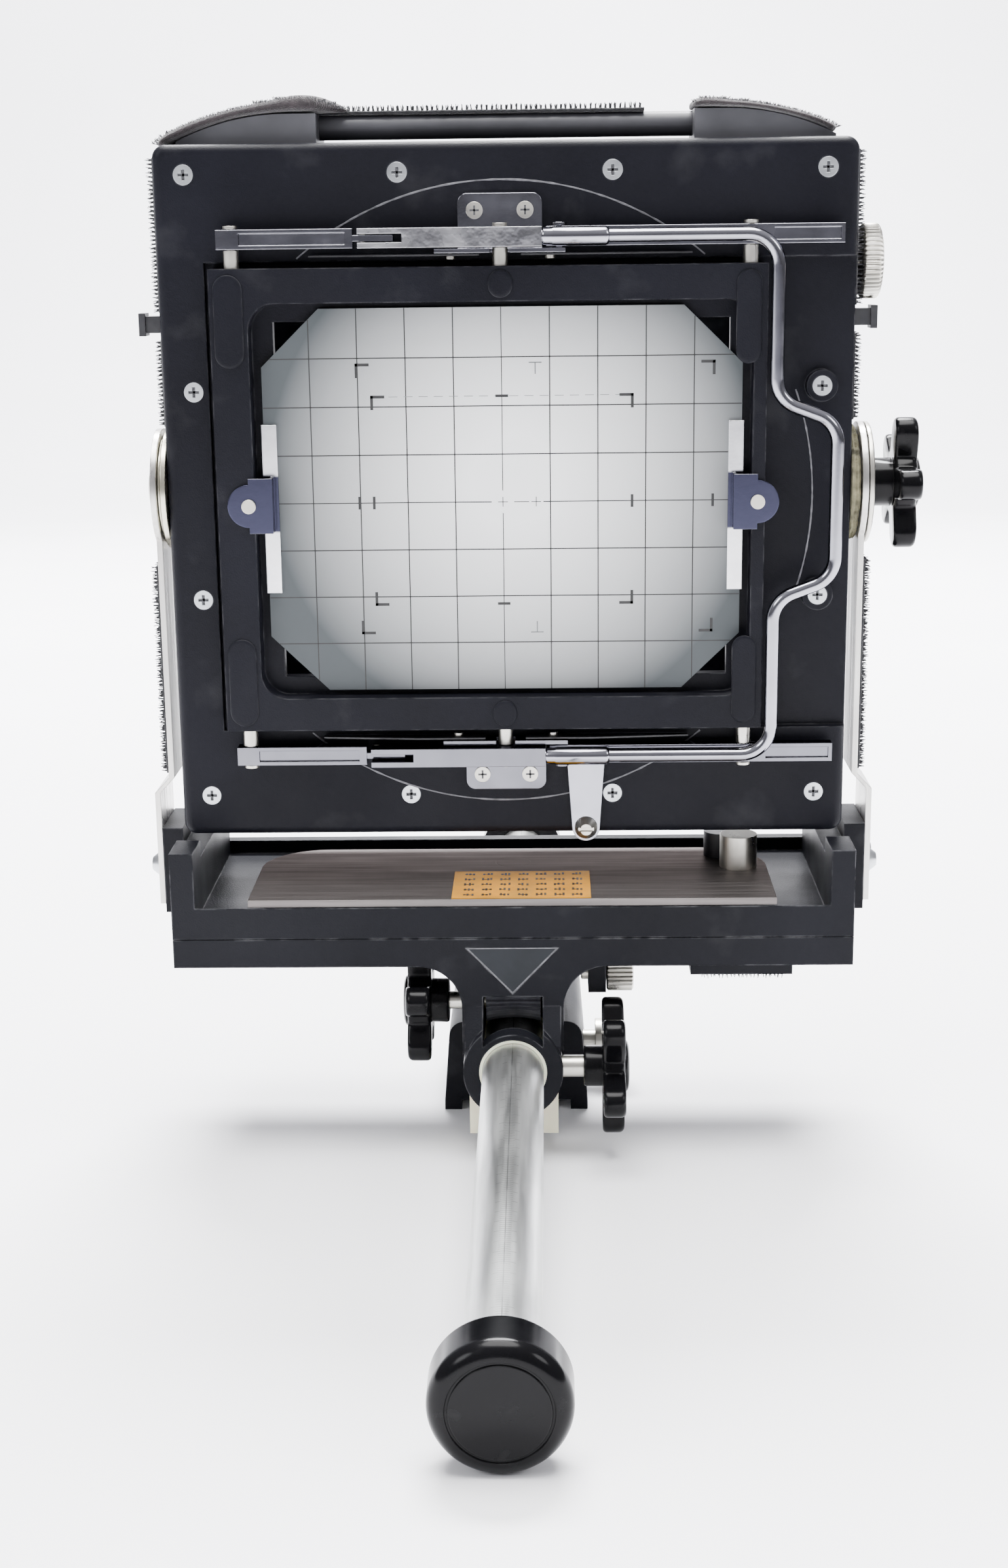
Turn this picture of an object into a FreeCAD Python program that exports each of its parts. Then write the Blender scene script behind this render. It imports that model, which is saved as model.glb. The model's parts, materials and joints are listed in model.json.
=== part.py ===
import FreeCAD, Part
import Sketcher
import math
import os
import re

# Rear standard and spring back of a 4x5 inch monorail view camera, on its rail.
# Row frame, millimetres: X to the right, Y from the viewer towards the scene, Z up.
# Origin: mouth of the tripod socket, in the underside of the rail block.

SIZES = {
    # rail and its block
    "rail_z": 30.0, "rail_radius": 8.4, "rail_bore": 6.8, "rail_near": -244.0, "rail_far": 156.0,
    "cap_radius": 14.7, "cap_length": 12.0, "cap_wall": 3.5, "cap_round": 3.6, "cap_ring_radius": 11.0,
    "cap_ring_width": 0.7, "cap_ring_depth": 0.35, "block_half_depth": 26.0, "block_top_half": 14.2,
    "block_shoulder_z": 27.6, "block_shoulder_half": 19.3, "block_foot_half": 21.2, "block_foot_z": 3.0,
    "block_foot_width": 5.0, "socket_radius": 2.55, "socket_depth": 12.0, "socket_boss_radius": 9.0,
    "rail_slip": 0.05, "block_screw_z": 12.0, "block_screw_radius": 3.0, "block_knob_radius": 6.5,
    "block_knob_length": 9.0, "socket_wall": 2.0,
    # picture centre, tilt axis
    "centre_x": -1.4, "back_y": -44.0, "centre_z": 183.0, "tilt_y": -28.0, "tilt_z": 185.3,
    # carriage casting
    "base_half": 93.0, "base_near": -64.0, "base_far": 8.0, "base_low": 58.0, "base_split": 66.0,
    "plate_gap": 0.2, "neck_half": 14.0, "neck_far": -28.0, "neck_round": 12.0, "ring_radius": 13.75,
    "ring_near": -71.5, "ring_far": -28.0, "notch_radius": 10.9, "cheek_near": -70.5, "cheek_low": 37.0,
    "cheek_top": 46.5, "cheek_out": 13.2, "liner_radius": 9.3, "liner_tail_low": 8.0,
    "liner_tail_width": 4.2, "liner_tail_near": -62.0, "liner_tail_far": -52.0, "window_half": 8.2,
    "window_top": 49.2, "window_far": -42.0, "badge_half": 12.8, "badge_top": 63.4, "badge_tip": 50.0,
    "badge_depth": 0.6, "knob_pocket_top": 64.0, "base_wall": 2.5, "tail_clear": 0.5, "lug_in": 7.0,
    "lug_out": 2.0, "pad_near": 4.0, "pad_far": 30.0, "shift_hole_in": 12.0, "shift_hole_length": 20.0,
    # focus drive
    "drive_y": -50.5, "drive_z": 43.5, "roller_radius": 5.0, "roller_half": 7.6, "shaft_radius": 2.5,
    "focus_stem": 18.0, "focus_hub": 23.0, "focus_lobe": 29.5, "focus_knob_radius": 17.4,
    "focus_hub_radius": 6.2, "knob_core": 9.5, "lobe_half": 4.2, "knob_cap_high": 1.4,
    "knob_cap_radius": 7.0,
    # rail lock
    "lock_y": -66.7, "lock_screw_radius": 3.0, "lock_stem": 19.4, "lock_hub": 24.6, "lock_lobe": 30.6,
    "lock_knob_radius": 19.5, "running_gap": 0.05, "lock_hub_radius": 5.6,
    # shift lock under the base
    "shift_lock_x": 28.0, "shift_lock_y": -46.0, "shift_lock_z": 50.0, "shift_knob_radius": 5.2,
    "shift_knob_length": 7.5, "shift_lug_half": 4.5, "shift_knob_in": 1.8, "shift_shaft_in": 9.0,
    "shift_shaft_length": 8.0,
    # shift tray
    "tray_top": 75.0, "tray_floor": 71.0, "tray_wall": 4.0, "upright_top": 90.5,
    "upright_back_top": 86.0, "upright_step": -50.0, "upright_thick": 6.5, "boss_out": 98.9,
    "boss_near": -39.0, "boss_far": -17.0, "boss_top": 91.0, "shift_travel": 12.0,
    # swing plate
    "swing_half": 72.0, "swing_near": -63.6, "swing_far": -14.0, "swing_low": 75.2, "swing_high": 77.2,
    "swing_round": 18.0, "pivot_y": -28.0, "pivot_radius": 5.0, "pivot_clear": 0.4, "post_x": 64.0,
    "post_y": -33.0, "post_radius": 5.25, "post_high": 86.7, "stop_x": 59.5, "stop_y": -21.5,
    "stop_radius": 4.5, "stop_high": 84.5, "card_half": 19.0, "card_x": 2.6, "card_near": -63.2,
    "card_far": -38.0, "card_thick": 0.25,
    # tilt arms and hubs
    "arm_in": 94.8, "arm_thick": 1.6, "arm_low_in": 99.0, "arm_half_width": 10.0, "arm_bottom": 68.5,
    "arm_jog_low": 101.0, "arm_jog_high": 105.5, "eye_radius": 16.5, "axle_radius": 4.0,
    "washer_radius": 15.6, "washer_in": 92.2, "hub_disc_out": 98.3, "hub_dome": 2.4,
    "hub_dome_foot": 8.5, "hub_dome_radius": 5.0, "arm_screw_z": 79.0, "arm_screw_y_step": 10.0,
    "arm_screw_radius": 3.9, "arm_screw_high": 2.4, "tilt_knob_stem": 104.6, "tilt_knob_lobe": 110.8,
    "tilt_knob_radius": 18.3, "arm_hole_depth": 6.0, "arm_shank_length": 7.7, "tilt_hub_radius": 6.6,
    # square frame
    "frame_half": 92.0, "frame_high": 93.0, "face_y": -43.0, "plate_back": -33.0, "shell_far": -7.0,
    "frame_round": 3.5, "back_soft": 2.5, "flange_thick": 3.0, "flange_open": 51.0,
    "light_half_x": 62.5, "light_half_z": 50.0, "shell_wall": 5.0, "well_left": -79.4,
    "well_half_z": 63.0, "well_floor": -40.0, "screw_radius": 2.6, "screw_head": 1.2,
    "screw_shank": 1.4, "screw_length": 8.0, "screw_outer_x": 83.7, "screw_inner_x": 28.0,
    "screw_top_z": 85.3, "screw_bottom_z": -81.5, "screw_side_x": 83.5, "screw_side_high": 29.5,
    "screw_side_low": -26.4, "cross_width": 0.8,
    # handle
    "hump_in": 49.5, "hump_out": 86.5, "hump_top": 283.6, "hump_near": -35.0, "hump_far": -13.0,
    "hump_curve": 66.0, "hump_flat": 8.0, "strip_top_length": 14.0, "bar_z": 280.3,
    "bar_radius": 3.2, "bar_y": -24.0, "strip_thick": 1.6,
    "strip_near": -39.0, "strip_far": -11.0, "bar_end": 4.0,
    # catches and side knob
    "catch_z": 47.0, "catch_y": -34.0, "catch_half": 3.0, "catch_neck_half": 2.2, "catch_neck_in": 84.0,
    "catch_neck_out": 96.6, "catch_out": 98.4, "catch_gap": 0.3, "side_knob_z": 61.3,
    "side_knob_y": -30.0, "side_knob_radius": 9.8, "side_knob_in": 94.0, "side_knob_out": 99.6,
    "side_shaft_radius": 2.5,
    # focusing frame and glass
    "gg_left": -77.4, "gg_right": 68.1, "gg_half_z": 61.5, "gg_near": -50.5, "gg_far": -40.3,
    "gg_open_x": 66.0, "gg_open_z": 52.5, "gg_image_x": 60.3, "gg_image_z": 47.6, "gg_round": 7.0,
    "glass_half_x": 63.5, "glass_half_z": 51.0, "glass_cut_x": 15.5, "glass_cut_z": 15.0,
    "glass_thick": 2.0, "glass_gap": 0.05, "clip_x": 67.5, "clip_half_z": 7.3, "clip_thick": 0.8,
    "clip_spring_x": 62.0, "clip_spring_half": 2.0, "clip_spring_high": 21.0, "clip_spring_low": -24.0,
    "clip_screw": 1.9, "clip_screw_length": 3.0, "clip_tab_radius": 5.7,
    # posts and linkage
    "post_line_y": -47.5, "gg_post_radius": 2.0, "pin_radius": 1.0, "pin_head": 1.9, "post_left": -71.4,
    "post_right": 63.6, "post_sink": 4.0, "link_low": 66.3, "link_high": 71.3, "link_near": -49.9,
    "link_far": -45.1, "arm_left_end": -75.0, "arm_left_join": -39.5, "tongue_end": -29.0,
    "tongue_low": 68.0, "tongue_high": 69.6, "tongue_slack": 0.3, "lever_left": -38.0,
    "lever_right": 9.5, "lever_near": -53.3, "lever_far": -45.3, "lever_slot_end": -26.5,
    "clevis_x": -37.0, "clevis_pin": 0.9, "bar_left": 10.6, "bar_right": 87.7, "bar_pivot_x": 14.0,
    "bar_wall": 1.0, "bail_y": -51.3, "bail_radius": 1.8, "bail_side": 70.6, "bail_bow": 86.8,
    "bail_bow_in_z": 26.5, "bail_bow_out_z": 20.5, "bail_bend": 8.0, "groove_end": 6.0,
    "groove_join": 2.0, "clevis_room": 0.3, "tongue_wall": 1.2, "bar_groove_end": 5.0,
    "bar_tip_start": 6.0, "bar_slot_in": 0.4, "bar_slot_out": 2.4,
    # brackets, leaf springs and lever
    "bracket_half": 11.0, "bracket_top": 79.8, "bracket_thick": 1.3, "bracket_flange_half": 17.0,
    "bracket_flange_low": 64.8, "bracket_flange_high": 65.9, "bracket_flange_near": -50.0,
    "bracket_screw_x": 6.6, "bracket_screw_z": 75.5, "bracket_screw_radius": 2.2,
    "bracket_screw_high": 0.55, "post_slot": 2.6, "leaf_in": 5.5, "leaf_out": 50.0, "leaf_low": 64.1,
    "leaf_high": 64.6, "leaf_near": -49.0, "leaf_far": -44.5, "leaf_screw_x": 13.0,
    "leaf_screw_radius": 1.3, "leaf_screw_low": 63.2, "lever_x": 20.6, "lock_lever_pivot": -91.0,
    "lock_lever_tip": -71.0, "lock_lever_wide": 5.2, "lock_lever_narrow": 3.8, "lock_lever_thick": 1.4,
    "lock_lever_screw": 3.2, "lock_lever_screw_high": 2.4, "bracket_screw_length": 4.0,
    "lever_screw_length": 5.0,
    # smaller details
    "block_edge_round": 4.5, "block_knob_in": 24.0, "block_stud_in": 5.0, "knob_pocket_in": 21.5,
    "knob_pocket_out": 32.5, "tail_slot_half": 13.0, "liner_tail_in": 8.2, "liner_tail_top": 2.0,
    "liner_top_gap": 3.0, "window_near": -66.0, "pad_left": 49.0, "pad_right": 77.0, "pad_high": 4.0,
    "shift_shaft_radius": 2.0, "tray_lip": 0.6, "arm_shank_radius": 1.5, "island_radius": 4.2,
    "strip_arm_low": -76.5, "strip_arm_high": -17.5, "bar_strip_right": 37.0, "clip_shank_radius": 0.8,
    "strip_lower_high": 43.0,
    "strip_lower_low": 20.0,
    "strip_upper_high": 90.0,
    "strip_upper_low": 50.0,
    "clip_web": 61.2, "tongue_near": -49.8, "tongue_far": -45.2, "link_middle": 68.8, "wire_sink": 4.0,
    "bar_near": -49.2, "bracket_corner": 2.5, "leaf_screw_y": -46.0, "leaf_shank_radius": 0.7,
    "leaf_middle": 24.0, "leaf_tip_near": -46.5, "lock_slot_depth": 0.8, "lock_slot_half": 0.5,
    "pocket_skirt": 3.0, "strip_hole_radius": 3.2, "clevis_slack": 0.65, "post_slack": 0.25,
    "cut_margin": 1.0,
}

doc = FreeCAD.newDocument("ViewCameraBack")
sheet = doc.addObject("Spreadsheet::Sheet", "Sizes")
for row, (alias, value) in enumerate(SIZES.items(), start=1):
    sheet.set(f"A{row}", alias)
    sheet.set(f"B{row}", str(value))
    sheet.setAlias(f"B{row}", alias)
doc.recompute()

NAMES = re.compile(r"\b(" + "|".join(sorted(SIZES, key=len, reverse=True)) + r")\b")
AXIS_TURN = {
    "x": FreeCAD.Rotation(FreeCAD.Vector(0, 1, 0), 90),
    "-x": FreeCAD.Rotation(FreeCAD.Vector(0, 1, 0), -90),
    "y": FreeCAD.Rotation(FreeCAD.Vector(1, 0, 0), -90),
    "-y": FreeCAD.Rotation(FreeCAD.Vector(1, 0, 0), 90),
    "z": FreeCAD.Rotation(),
    "-z": FreeCAD.Rotation(FreeCAD.Vector(1, 0, 0), 180),
}
LOBES = 5
SIDES = {"left": -1, "right": 1}
ENDS = {"top": 1, "bottom": -1}
nodes = []

# how edges are picked: nearly parallel, touching a plane, or within a small distance of it
PARALLEL = 0.9
TOUCH = 0.01
NEARBY = 1.0


def size(alias):
    """One driving dimension, as a number."""
    return float(sheet.get(alias))


def formula(text):
    """A formula written in the sheet's aliases, as an expression on the sheet."""
    return NAMES.sub(r"Sizes.\1", str(text))


def bind(thing, prop, text):
    thing.setExpression(prop, formula(text))


def place(thing, x, y, z, axis="z"):
    """Turn the thing's own Z to the axis, and bind its place to the sheet."""
    thing.Placement = FreeCAD.Placement(FreeCAD.Vector(), AXIS_TURN[axis])
    bind(thing, "Placement.Base.x", x)
    bind(thing, "Placement.Base.y", y)
    bind(thing, "Placement.Base.z", z)


def node(thing, label):
    """Register a finished sub-part under its node name."""
    thing.Label = label
    nodes.append(thing)
    return thing


def box(name, xs, ys, zs):
    """A block between two corners: (low, high) formulas for X, Y and Z."""
    thing = doc.addObject("Part::Box", name)
    bind(thing, "Length", f"({xs[1]}) - ({xs[0]})")
    bind(thing, "Width", f"({ys[1]}) - ({ys[0]})")
    bind(thing, "Height", f"({zs[1]}) - ({zs[0]})")
    place(thing, xs[0], ys[0], zs[0])
    return thing


def rod(name, axis, start, length, radius):
    """A cylinder from a start point along an axis."""
    thing = doc.addObject("Part::Cylinder", name)
    bind(thing, "Radius", radius)
    bind(thing, "Height", length)
    place(thing, *start, axis)
    return thing


def cone(name, axis, start, length, radius, end_radius):
    thing = doc.addObject("Part::Cone", name)
    bind(thing, "Radius1", radius)
    bind(thing, "Radius2", end_radius)
    bind(thing, "Height", length)
    place(thing, *start, axis)
    return thing


def join(name, *parts):
    thing = doc.addObject("Part::MultiFuse", name)
    thing.Shapes = list(parts)
    thing.Refine = True
    return thing


def group(name, parts):
    """Separate solids that share one node."""
    thing = doc.addObject("Part::Compound", name)
    thing.Links = list(parts)
    return thing


def common(name, first, second):
    thing = doc.addObject("Part::Common", name)
    thing.Base = first
    thing.Tool = second
    return thing


def cut(name, base, *tools):
    thing = doc.addObject("Part::Cut", name)
    thing.Base = base
    thing.Tool = tools[0] if len(tools) == 1 else group(name + "_tools", tools)
    return thing


def rounded(name, base, radius, pick):
    """Round the edges that pick accepts, by their middle point and direction."""
    doc.recompute()
    edges = []
    for index, edge in enumerate(base.Shape.Edges, start=1):
        middle = edge.valueAt((edge.FirstParameter + edge.LastParameter) / 2)
        along = edge.tangentAt((edge.FirstParameter + edge.LastParameter) / 2)
        if pick(middle, along):
            edges.append((index, size(radius), size(radius)))
    thing = doc.addObject("Part::Fillet", name)
    thing.Base = base
    thing.Edges = edges
    return thing


def origin_plane(body, role):
    return next(feature for feature in body.Origin.OriginFeatures if feature.Role == role)


def outline(body, name, role, points):
    """A closed polygon sketch on one of the body's own planes, bound point by point."""
    sketch = body.newObject("Sketcher::SketchObject", name)
    sketch.AttachmentSupport = [(origin_plane(body, role), "")]
    sketch.MapMode = "FlatFace"
    turn = 2 * math.pi / len(points)
    corners = [FreeCAD.Vector(math.cos(turn * i), math.sin(turn * i), 0) for i in range(len(points))]
    for here, there in zip(corners, corners[1:] + corners[:1]):
        sketch.addGeometry(Part.LineSegment(here, there))
    for index in range(len(points)):
        following = (index + 1) % len(points)
        sketch.addConstraint(Sketcher.Constraint("Coincident", index, 2, following, 1))
    for index, point in enumerate(points):
        for kind, text in zip(("DistanceX", "DistanceY"), point):
            at = sketch.addConstraint(Sketcher.Constraint(kind, -1, 1, index, 1, 1.0))
            bind(sketch, f"Constraints[{at}]", text)
    return sketch


def extruded(name, role, points, thickness, low):
    """A plate: a polygon on an origin plane, padded towards the plane's positive row axis."""
    body = doc.addObject("PartDesign::Body", name)
    sketch = outline(body, name + "_outline", role, points)
    pad = body.newObject("PartDesign::Pad", name + "_pad")
    pad.Profile = sketch
    bind(pad, "Length", thickness)
    pad.Reversed = role == "XZ_Plane"
    body.Tip = pad
    axis = {"XY_Plane": "z", "XZ_Plane": "y", "YZ_Plane": "x"}[role]
    bind(body, f"Placement.Base.{axis}", low)
    return body


def circle_pad(body, name, radius, length, low):
    """A round pad on the body's own Z axis, starting at a height."""
    sketch = body.newObject("Sketcher::SketchObject", name + "_outline")
    sketch.AttachmentSupport = [(origin_plane(body, "XY_Plane"), "")]
    sketch.MapMode = "FlatFace"
    bind(sketch, "AttachmentOffset.Base.z", low)
    sketch.addGeometry(Part.Circle(FreeCAD.Vector(), FreeCAD.Vector(0, 0, 1), 1.0))
    sketch.addConstraint(Sketcher.Constraint("Coincident", 0, 3, -1, 1))
    at = sketch.addConstraint(Sketcher.Constraint("Radius", 0, 1.0))
    bind(sketch, f"Constraints[{at}]", radius)
    pad = body.newObject("PartDesign::Pad", name)
    pad.Profile = sketch
    bind(pad, "Length", length)
    return pad


def star_knob(label, axis, place_at, core, lobe_low, lobe_high, tip, stem_low, stem_radius, phase):
    """A five-lobed clamp knob on a hub, turned from its own Z to the axis."""
    body = doc.addObject("PartDesign::Body", label + "_body")
    circle_pad(body, label + "_stem", stem_radius, f"({lobe_high}) - ({stem_low})", stem_low)
    circle_pad(body, label + "_core", core, f"({lobe_high}) - ({lobe_low})", lobe_low)
    sketch = body.newObject("Sketcher::SketchObject", label + "_lobe_outline")
    sketch.AttachmentSupport = [(origin_plane(body, "XY_Plane"), "")]
    sketch.MapMode = "FlatFace"
    bind(sketch, "AttachmentOffset.Base.z", lobe_low)
    half = size("lobe_half")
    reach = size(tip) - half
    sketch.addGeometry(Part.LineSegment(FreeCAD.Vector(0, -half, 0), FreeCAD.Vector(reach, -half, 0)))
    end = Part.Circle(FreeCAD.Vector(reach, 0, 0), FreeCAD.Vector(0, 0, 1), half)
    sketch.addGeometry(Part.ArcOfCircle(end, -math.pi / 2, math.pi / 2))
    sketch.addGeometry(Part.LineSegment(FreeCAD.Vector(reach, half, 0), FreeCAD.Vector(0, half, 0)))
    sketch.addGeometry(Part.LineSegment(FreeCAD.Vector(0, half, 0), FreeCAD.Vector(0, -half, 0)))
    lobe = body.newObject("PartDesign::Pad", label + "_lobe")
    lobe.Profile = sketch
    bind(lobe, "Length", f"({lobe_high}) - ({lobe_low})")
    ring = body.newObject("PartDesign::PolarPattern", label + "_lobes")
    ring.Originals = [lobe]
    ring.Axis = (sketch, ["N_Axis"])
    ring.Angle = 360
    ring.Occurrences = LOBES
    body.Tip = ring
    turn = FreeCAD.Rotation(FreeCAD.Vector(0, 0, 1), phase)
    place(body, *place_at, axis)
    body.Placement.Rotation = AXIS_TURN[axis] * turn
    cap = rod(label + "_cap", axis, knob_end(place_at, axis, lobe_high), "knob_cap_high", "knob_cap_radius")
    return node(join(label + "_join", body, cap), label)


def knob_end(place_at, axis, reach):
    """The point on a knob's axis that lies this far along it."""
    sign = "-" if axis.startswith("-") else "+"
    return f"({place_at[0]}) {sign} ({reach})", place_at[1], place_at[2]


def mirror_x(side, low, high):
    """A (low, high) pair of X formulas on the left or the right side."""
    if SIDES[side] > 0:
        return low, high
    return f"-({high})", f"-({low})"


def sorted_x(turn, centre, low, high):
    """A (low, high) pair of X formulas to one side of a centre."""
    if turn > 0:
        return f"{centre} + {low}", f"{centre} + ({high})"
    return f"{centre} - ({high})", f"{centre} - ({low})"


def mirror_z(end, low, high):
    """A (low, high) pair of heights above or below the picture centre."""
    if ENDS[end] > 0:
        return f"centre_z + ({low})", f"centre_z + ({high})"
    return f"centre_z - ({high})", f"centre_z - ({low})"


# ---- rail: tube, end caps, tripod block ----
tube = cut("rail_tube_cut",
           rod("rail_outer", "y", (0, "rail_near", "rail_z"), "rail_far - rail_near", "rail_radius"),
           rod("rail_inner", "y", (0, "rail_near", "rail_z"), "rail_far - rail_near", "rail_bore"))
node(tube, "rail_tube")

for label, axis, rim in (("rail_cap_near", "-y", "rail_near + cap_length - cap_wall"),
                         ("rail_cap_far", "y", "rail_far - cap_length + cap_wall")):
    outer = rod(label + "_outer", axis, (0, rim, "rail_z"), "cap_length", "cap_radius")
    face = size("rail_near") - size("cap_wall") if axis == "-y" else size("rail_far") + size("cap_wall")
    soft = rounded(label + "_round", outer, "cap_round",
                   lambda middle, along, face=face: abs(middle.y - face) < TOUCH)
    bore = rod(label + "_bore", axis, (0, rim, "rail_z"), "cap_length - cap_wall", "rail_radius")
    inward = "+ cap_ring_depth" if axis == "-y" else "- cap_ring_depth"
    end = f"{face} {inward}"
    ring = cut(label + "_ring",
               rod(label + "_ring_out", axis, (0, end, "rail_z"), "cap_length", "cap_ring_radius"),
               rod(label + "_ring_in", axis, (0, end, "rail_z"), "cap_length",
                   "cap_ring_radius - cap_ring_width"))
    node(cut(label + "_cut", soft, bore, ring), label)

block_profile = [("block_foot_half", 0), ("block_foot_half", "block_foot_z"),
                 ("block_shoulder_half", "block_shoulder_z"), ("block_top_half", "block_shoulder_z"),
                 ("block_top_half", "rail_z + block_top_half"),
                 ("-block_top_half", "rail_z + block_top_half"), ("-block_top_half", "block_shoulder_z"),
                 ("-block_shoulder_half", "block_shoulder_z"), ("-block_foot_half", "block_foot_z"),
                 ("-block_foot_half", 0)]
block = extruded("block_body", "XZ_Plane", block_profile, "2 * block_half_depth", "-block_half_depth")
block = rounded("block_round", block, "block_edge_round",
                lambda middle, along: abs(along.y) > PARALLEL and middle.z > size("block_foot_z") + NEARBY
                and (middle.z > size("rail_z") or abs(middle.x) > size("block_shoulder_half") - NEARBY))
hollow = box("block_hollow",
             ("-(block_foot_half - block_foot_width)", "block_foot_half - block_foot_width"),
             ("-block_half_depth", "block_half_depth"), (0, "block_foot_z"))
boss = rod("socket_boss", "z", (0, 0, 0), "block_foot_z", "socket_boss_radius")
under = cut("block_under", hollow, boss)
socket = rod("socket", "z", (0, 0, 0), "socket_depth", "socket_radius")
bore = rod("block_bore", "y", (0, "-block_half_depth", "rail_z"), "2 * block_half_depth", "rail_radius")
screw_hole = rod("block_screw_hole", "x", ("socket_radius + socket_wall", 0, "block_screw_z"),
                 "block_foot_half", "block_screw_radius + running_gap")
node(cut("block_cut", block, under, socket, bore, screw_hole), "tripod_block")

knob = rod("block_knob", "x", ("block_knob_in", 0, "block_screw_z"), "block_knob_length",
           "block_knob_radius")
stud = rod("block_stud", "x", ("block_stud_in", 0, "block_screw_z"),
           "block_knob_in - block_stud_in", "block_screw_radius")
node(join("block_thumbscrew_join", knob, stud), "block_thumbscrew")

# ---- carriage casting that slides on the rail ----
neck_profile = [("-base_half", "base_low"), ("-neck_half", "base_low"), ("-neck_half", "rail_z"),
                ("neck_half", "rail_z"), ("neck_half", "base_low"), ("base_half", "base_low"),
                ("base_half", "base_split"), ("-base_half", "base_split")]
neck = extruded("neck_body", "XZ_Plane", neck_profile, "neck_far - base_near", "base_near")
neck = rounded("neck_round_fillet", neck, "neck_round",
               lambda middle, along: abs(along.y) > PARALLEL
               and abs(abs(middle.x) - size("neck_half")) < TOUCH
               and abs(middle.z - size("base_low")) < TOUCH)
deck = box("base_deck", ("-base_half", "base_half"), ("neck_far", "base_far"), ("base_low", "base_split"))
ring = rod("ring_outer", "y", (0, "ring_near", "rail_z"), "ring_far - ring_near", "ring_radius")
window = box("window", ("-window_half", "window_half"), ("base_near - cut_margin", "window_far"),
             ("rail_z", "window_top"))
ring_keep = rod("ring_keep", "y", (0, "ring_near", "rail_z"), "window_near - ring_near", "ring_radius")
bore = rod("ring_bore", "y", (0, "ring_near", "rail_z"), "ring_far - ring_near", "liner_radius")
pocket = box("knob_pocket", ("-knob_pocket_out", "-knob_pocket_in"),
             ("base_near + base_wall", "drive_y + focus_knob_radius + cut_margin"),
             ("base_low - pocket_skirt", "knob_pocket_top"))
shaft_hole = rod("shaft_hole", "-x", (0, "drive_y", "drive_z"), "neck_half + cut_margin",
                 "shaft_radius + running_gap")
lock_hole = rod("lock_hole", "x", ("rail_radius", "lock_y", "rail_z"), "neck_half",
                "lock_screw_radius + running_gap")
pivot_hole = rod("pivot_hole", "z", (0, "pivot_y", "base_low"), "base_split - base_low",
                 "pivot_radius + running_gap")
badge_cut = extruded("badge_recess", "XZ_Plane",
                     [("-badge_half", "badge_top"), (0, "badge_tip"), ("badge_half", "badge_top")],
                     "badge_depth", "base_near")
tail_slot = box("tail_slot", ("-tail_slot_half", "tail_slot_half"),
                ("liner_tail_near - tail_clear", "liner_tail_far + tail_clear"),
                ("rail_z - ring_radius - cut_margin", "rail_z"))
shift_hole = rod("shift_hole", "x", ("shift_lock_x - shift_hole_in", "shift_lock_y", "shift_lock_z"),
                 "shift_hole_length",
                 "shift_shaft_radius + running_gap")
lug = box("shift_lug", ("shift_lock_x - lug_in", "shift_lock_x - lug_out"),
          ("shift_lock_y - shift_lug_half", "shift_lock_y + shift_lug_half"),
          ("shift_lock_z - shift_lug_half", "base_low"))
pad_block = box("pad_block", ("pad_left", "pad_right"), ("base_near + pad_near", "base_near + pad_far"),
                ("base_low - pad_high", "base_low"))
hollow_neck = cut("neck_windowed", join("neck_join", neck, deck, lug, pad_block), window)
rim_notch = cut("rim_notch",
                box("notch_box", ("-window_half", "window_half"), ("ring_near", "window_near"),
                    ("rail_z", "rail_z + ring_radius")),
                rod("notch_core", "y", (0, "ring_near", "rail_z"), "window_near - ring_near",
                    "notch_radius"))
ring_window = box("ring_window", ("-window_half", "window_half"), ("window_near", "window_far"),
                  ("rail_z", "window_top"))
cheeks = [extruded(f"cheek_{side}", "YZ_Plane",
                   [("cheek_near", "cheek_low"), ("base_near", "cheek_top"), ("window_far", "cheek_top"),
                    ("window_far", "rail_z"), ("cheek_near", "rail_z")],
                   "cheek_out - window_half", mirror_x(side, "window_half", "cheek_out")[0])
          for side in SIDES]
casting = join("casting_join", hollow_neck, cut("ring_shell", ring, rim_notch, ring_window), *cheeks)
node(cut("casting_cut", casting, bore, pocket, shaft_hole, lock_hole, pivot_hole, badge_cut, tail_slot,
         shift_hole), "carriage_casting")
node(extruded("badge_body", "XZ_Plane",
              [("-badge_half", "badge_top"), (0, "badge_tip"), ("badge_half", "badge_top")],
              "badge_depth", "base_near"), "front_badge")

liner = cut("liner_tube",
            rod("liner_outer", "y", (0, "ring_near", "rail_z"), "ring_far - ring_near", "liner_radius"),
            rod("liner_bore", "y", (0, "ring_near", "rail_z"), "ring_far - ring_near",
                "rail_radius + rail_slip"),
            box("liner_window", ("-window_half", "window_half"), ("window_near", "window_far"),
                ("rail_z + liner_top_gap", "window_top")),
            rod("liner_lock_hole", "x", ("rail_radius", "lock_y", "rail_z"), "neck_half",
                "lock_screw_radius + running_gap"))
tails = [box(f"liner_tail_{side}", mirror_x(side, "liner_tail_in", "liner_tail_in + liner_tail_width"),
             ("liner_tail_near", "liner_tail_far"), ("liner_tail_low", "rail_z - liner_tail_top"))
         for side in SIDES]
node(join("liner_join", liner, *tails), "rail_liner")

# ---- focus drive: roller on top of the tube, its shaft and knob ----
shaft = rod("focus_shaft_rod", "-x", ("roller_half", "drive_y", "drive_z"),
            "roller_half + focus_stem", "shaft_radius")
node(shaft, "focus_shaft")
roller = cut("focus_roller_cut",
             rod("roller_outer", "x", ("-roller_half", "drive_y", "drive_z"), "2 * roller_half",
                 "roller_radius"),
             rod("roller_bore", "x", ("-roller_half", "drive_y", "drive_z"), "2 * roller_half",
                 "shaft_radius"))
node(roller, "focus_roller")
star_knob("focus_knob", "-x", (0, "drive_y", "drive_z"), "knob_core", "focus_hub", "focus_lobe",
          "focus_knob_radius", "focus_stem", "focus_hub_radius", phase=180)

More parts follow.
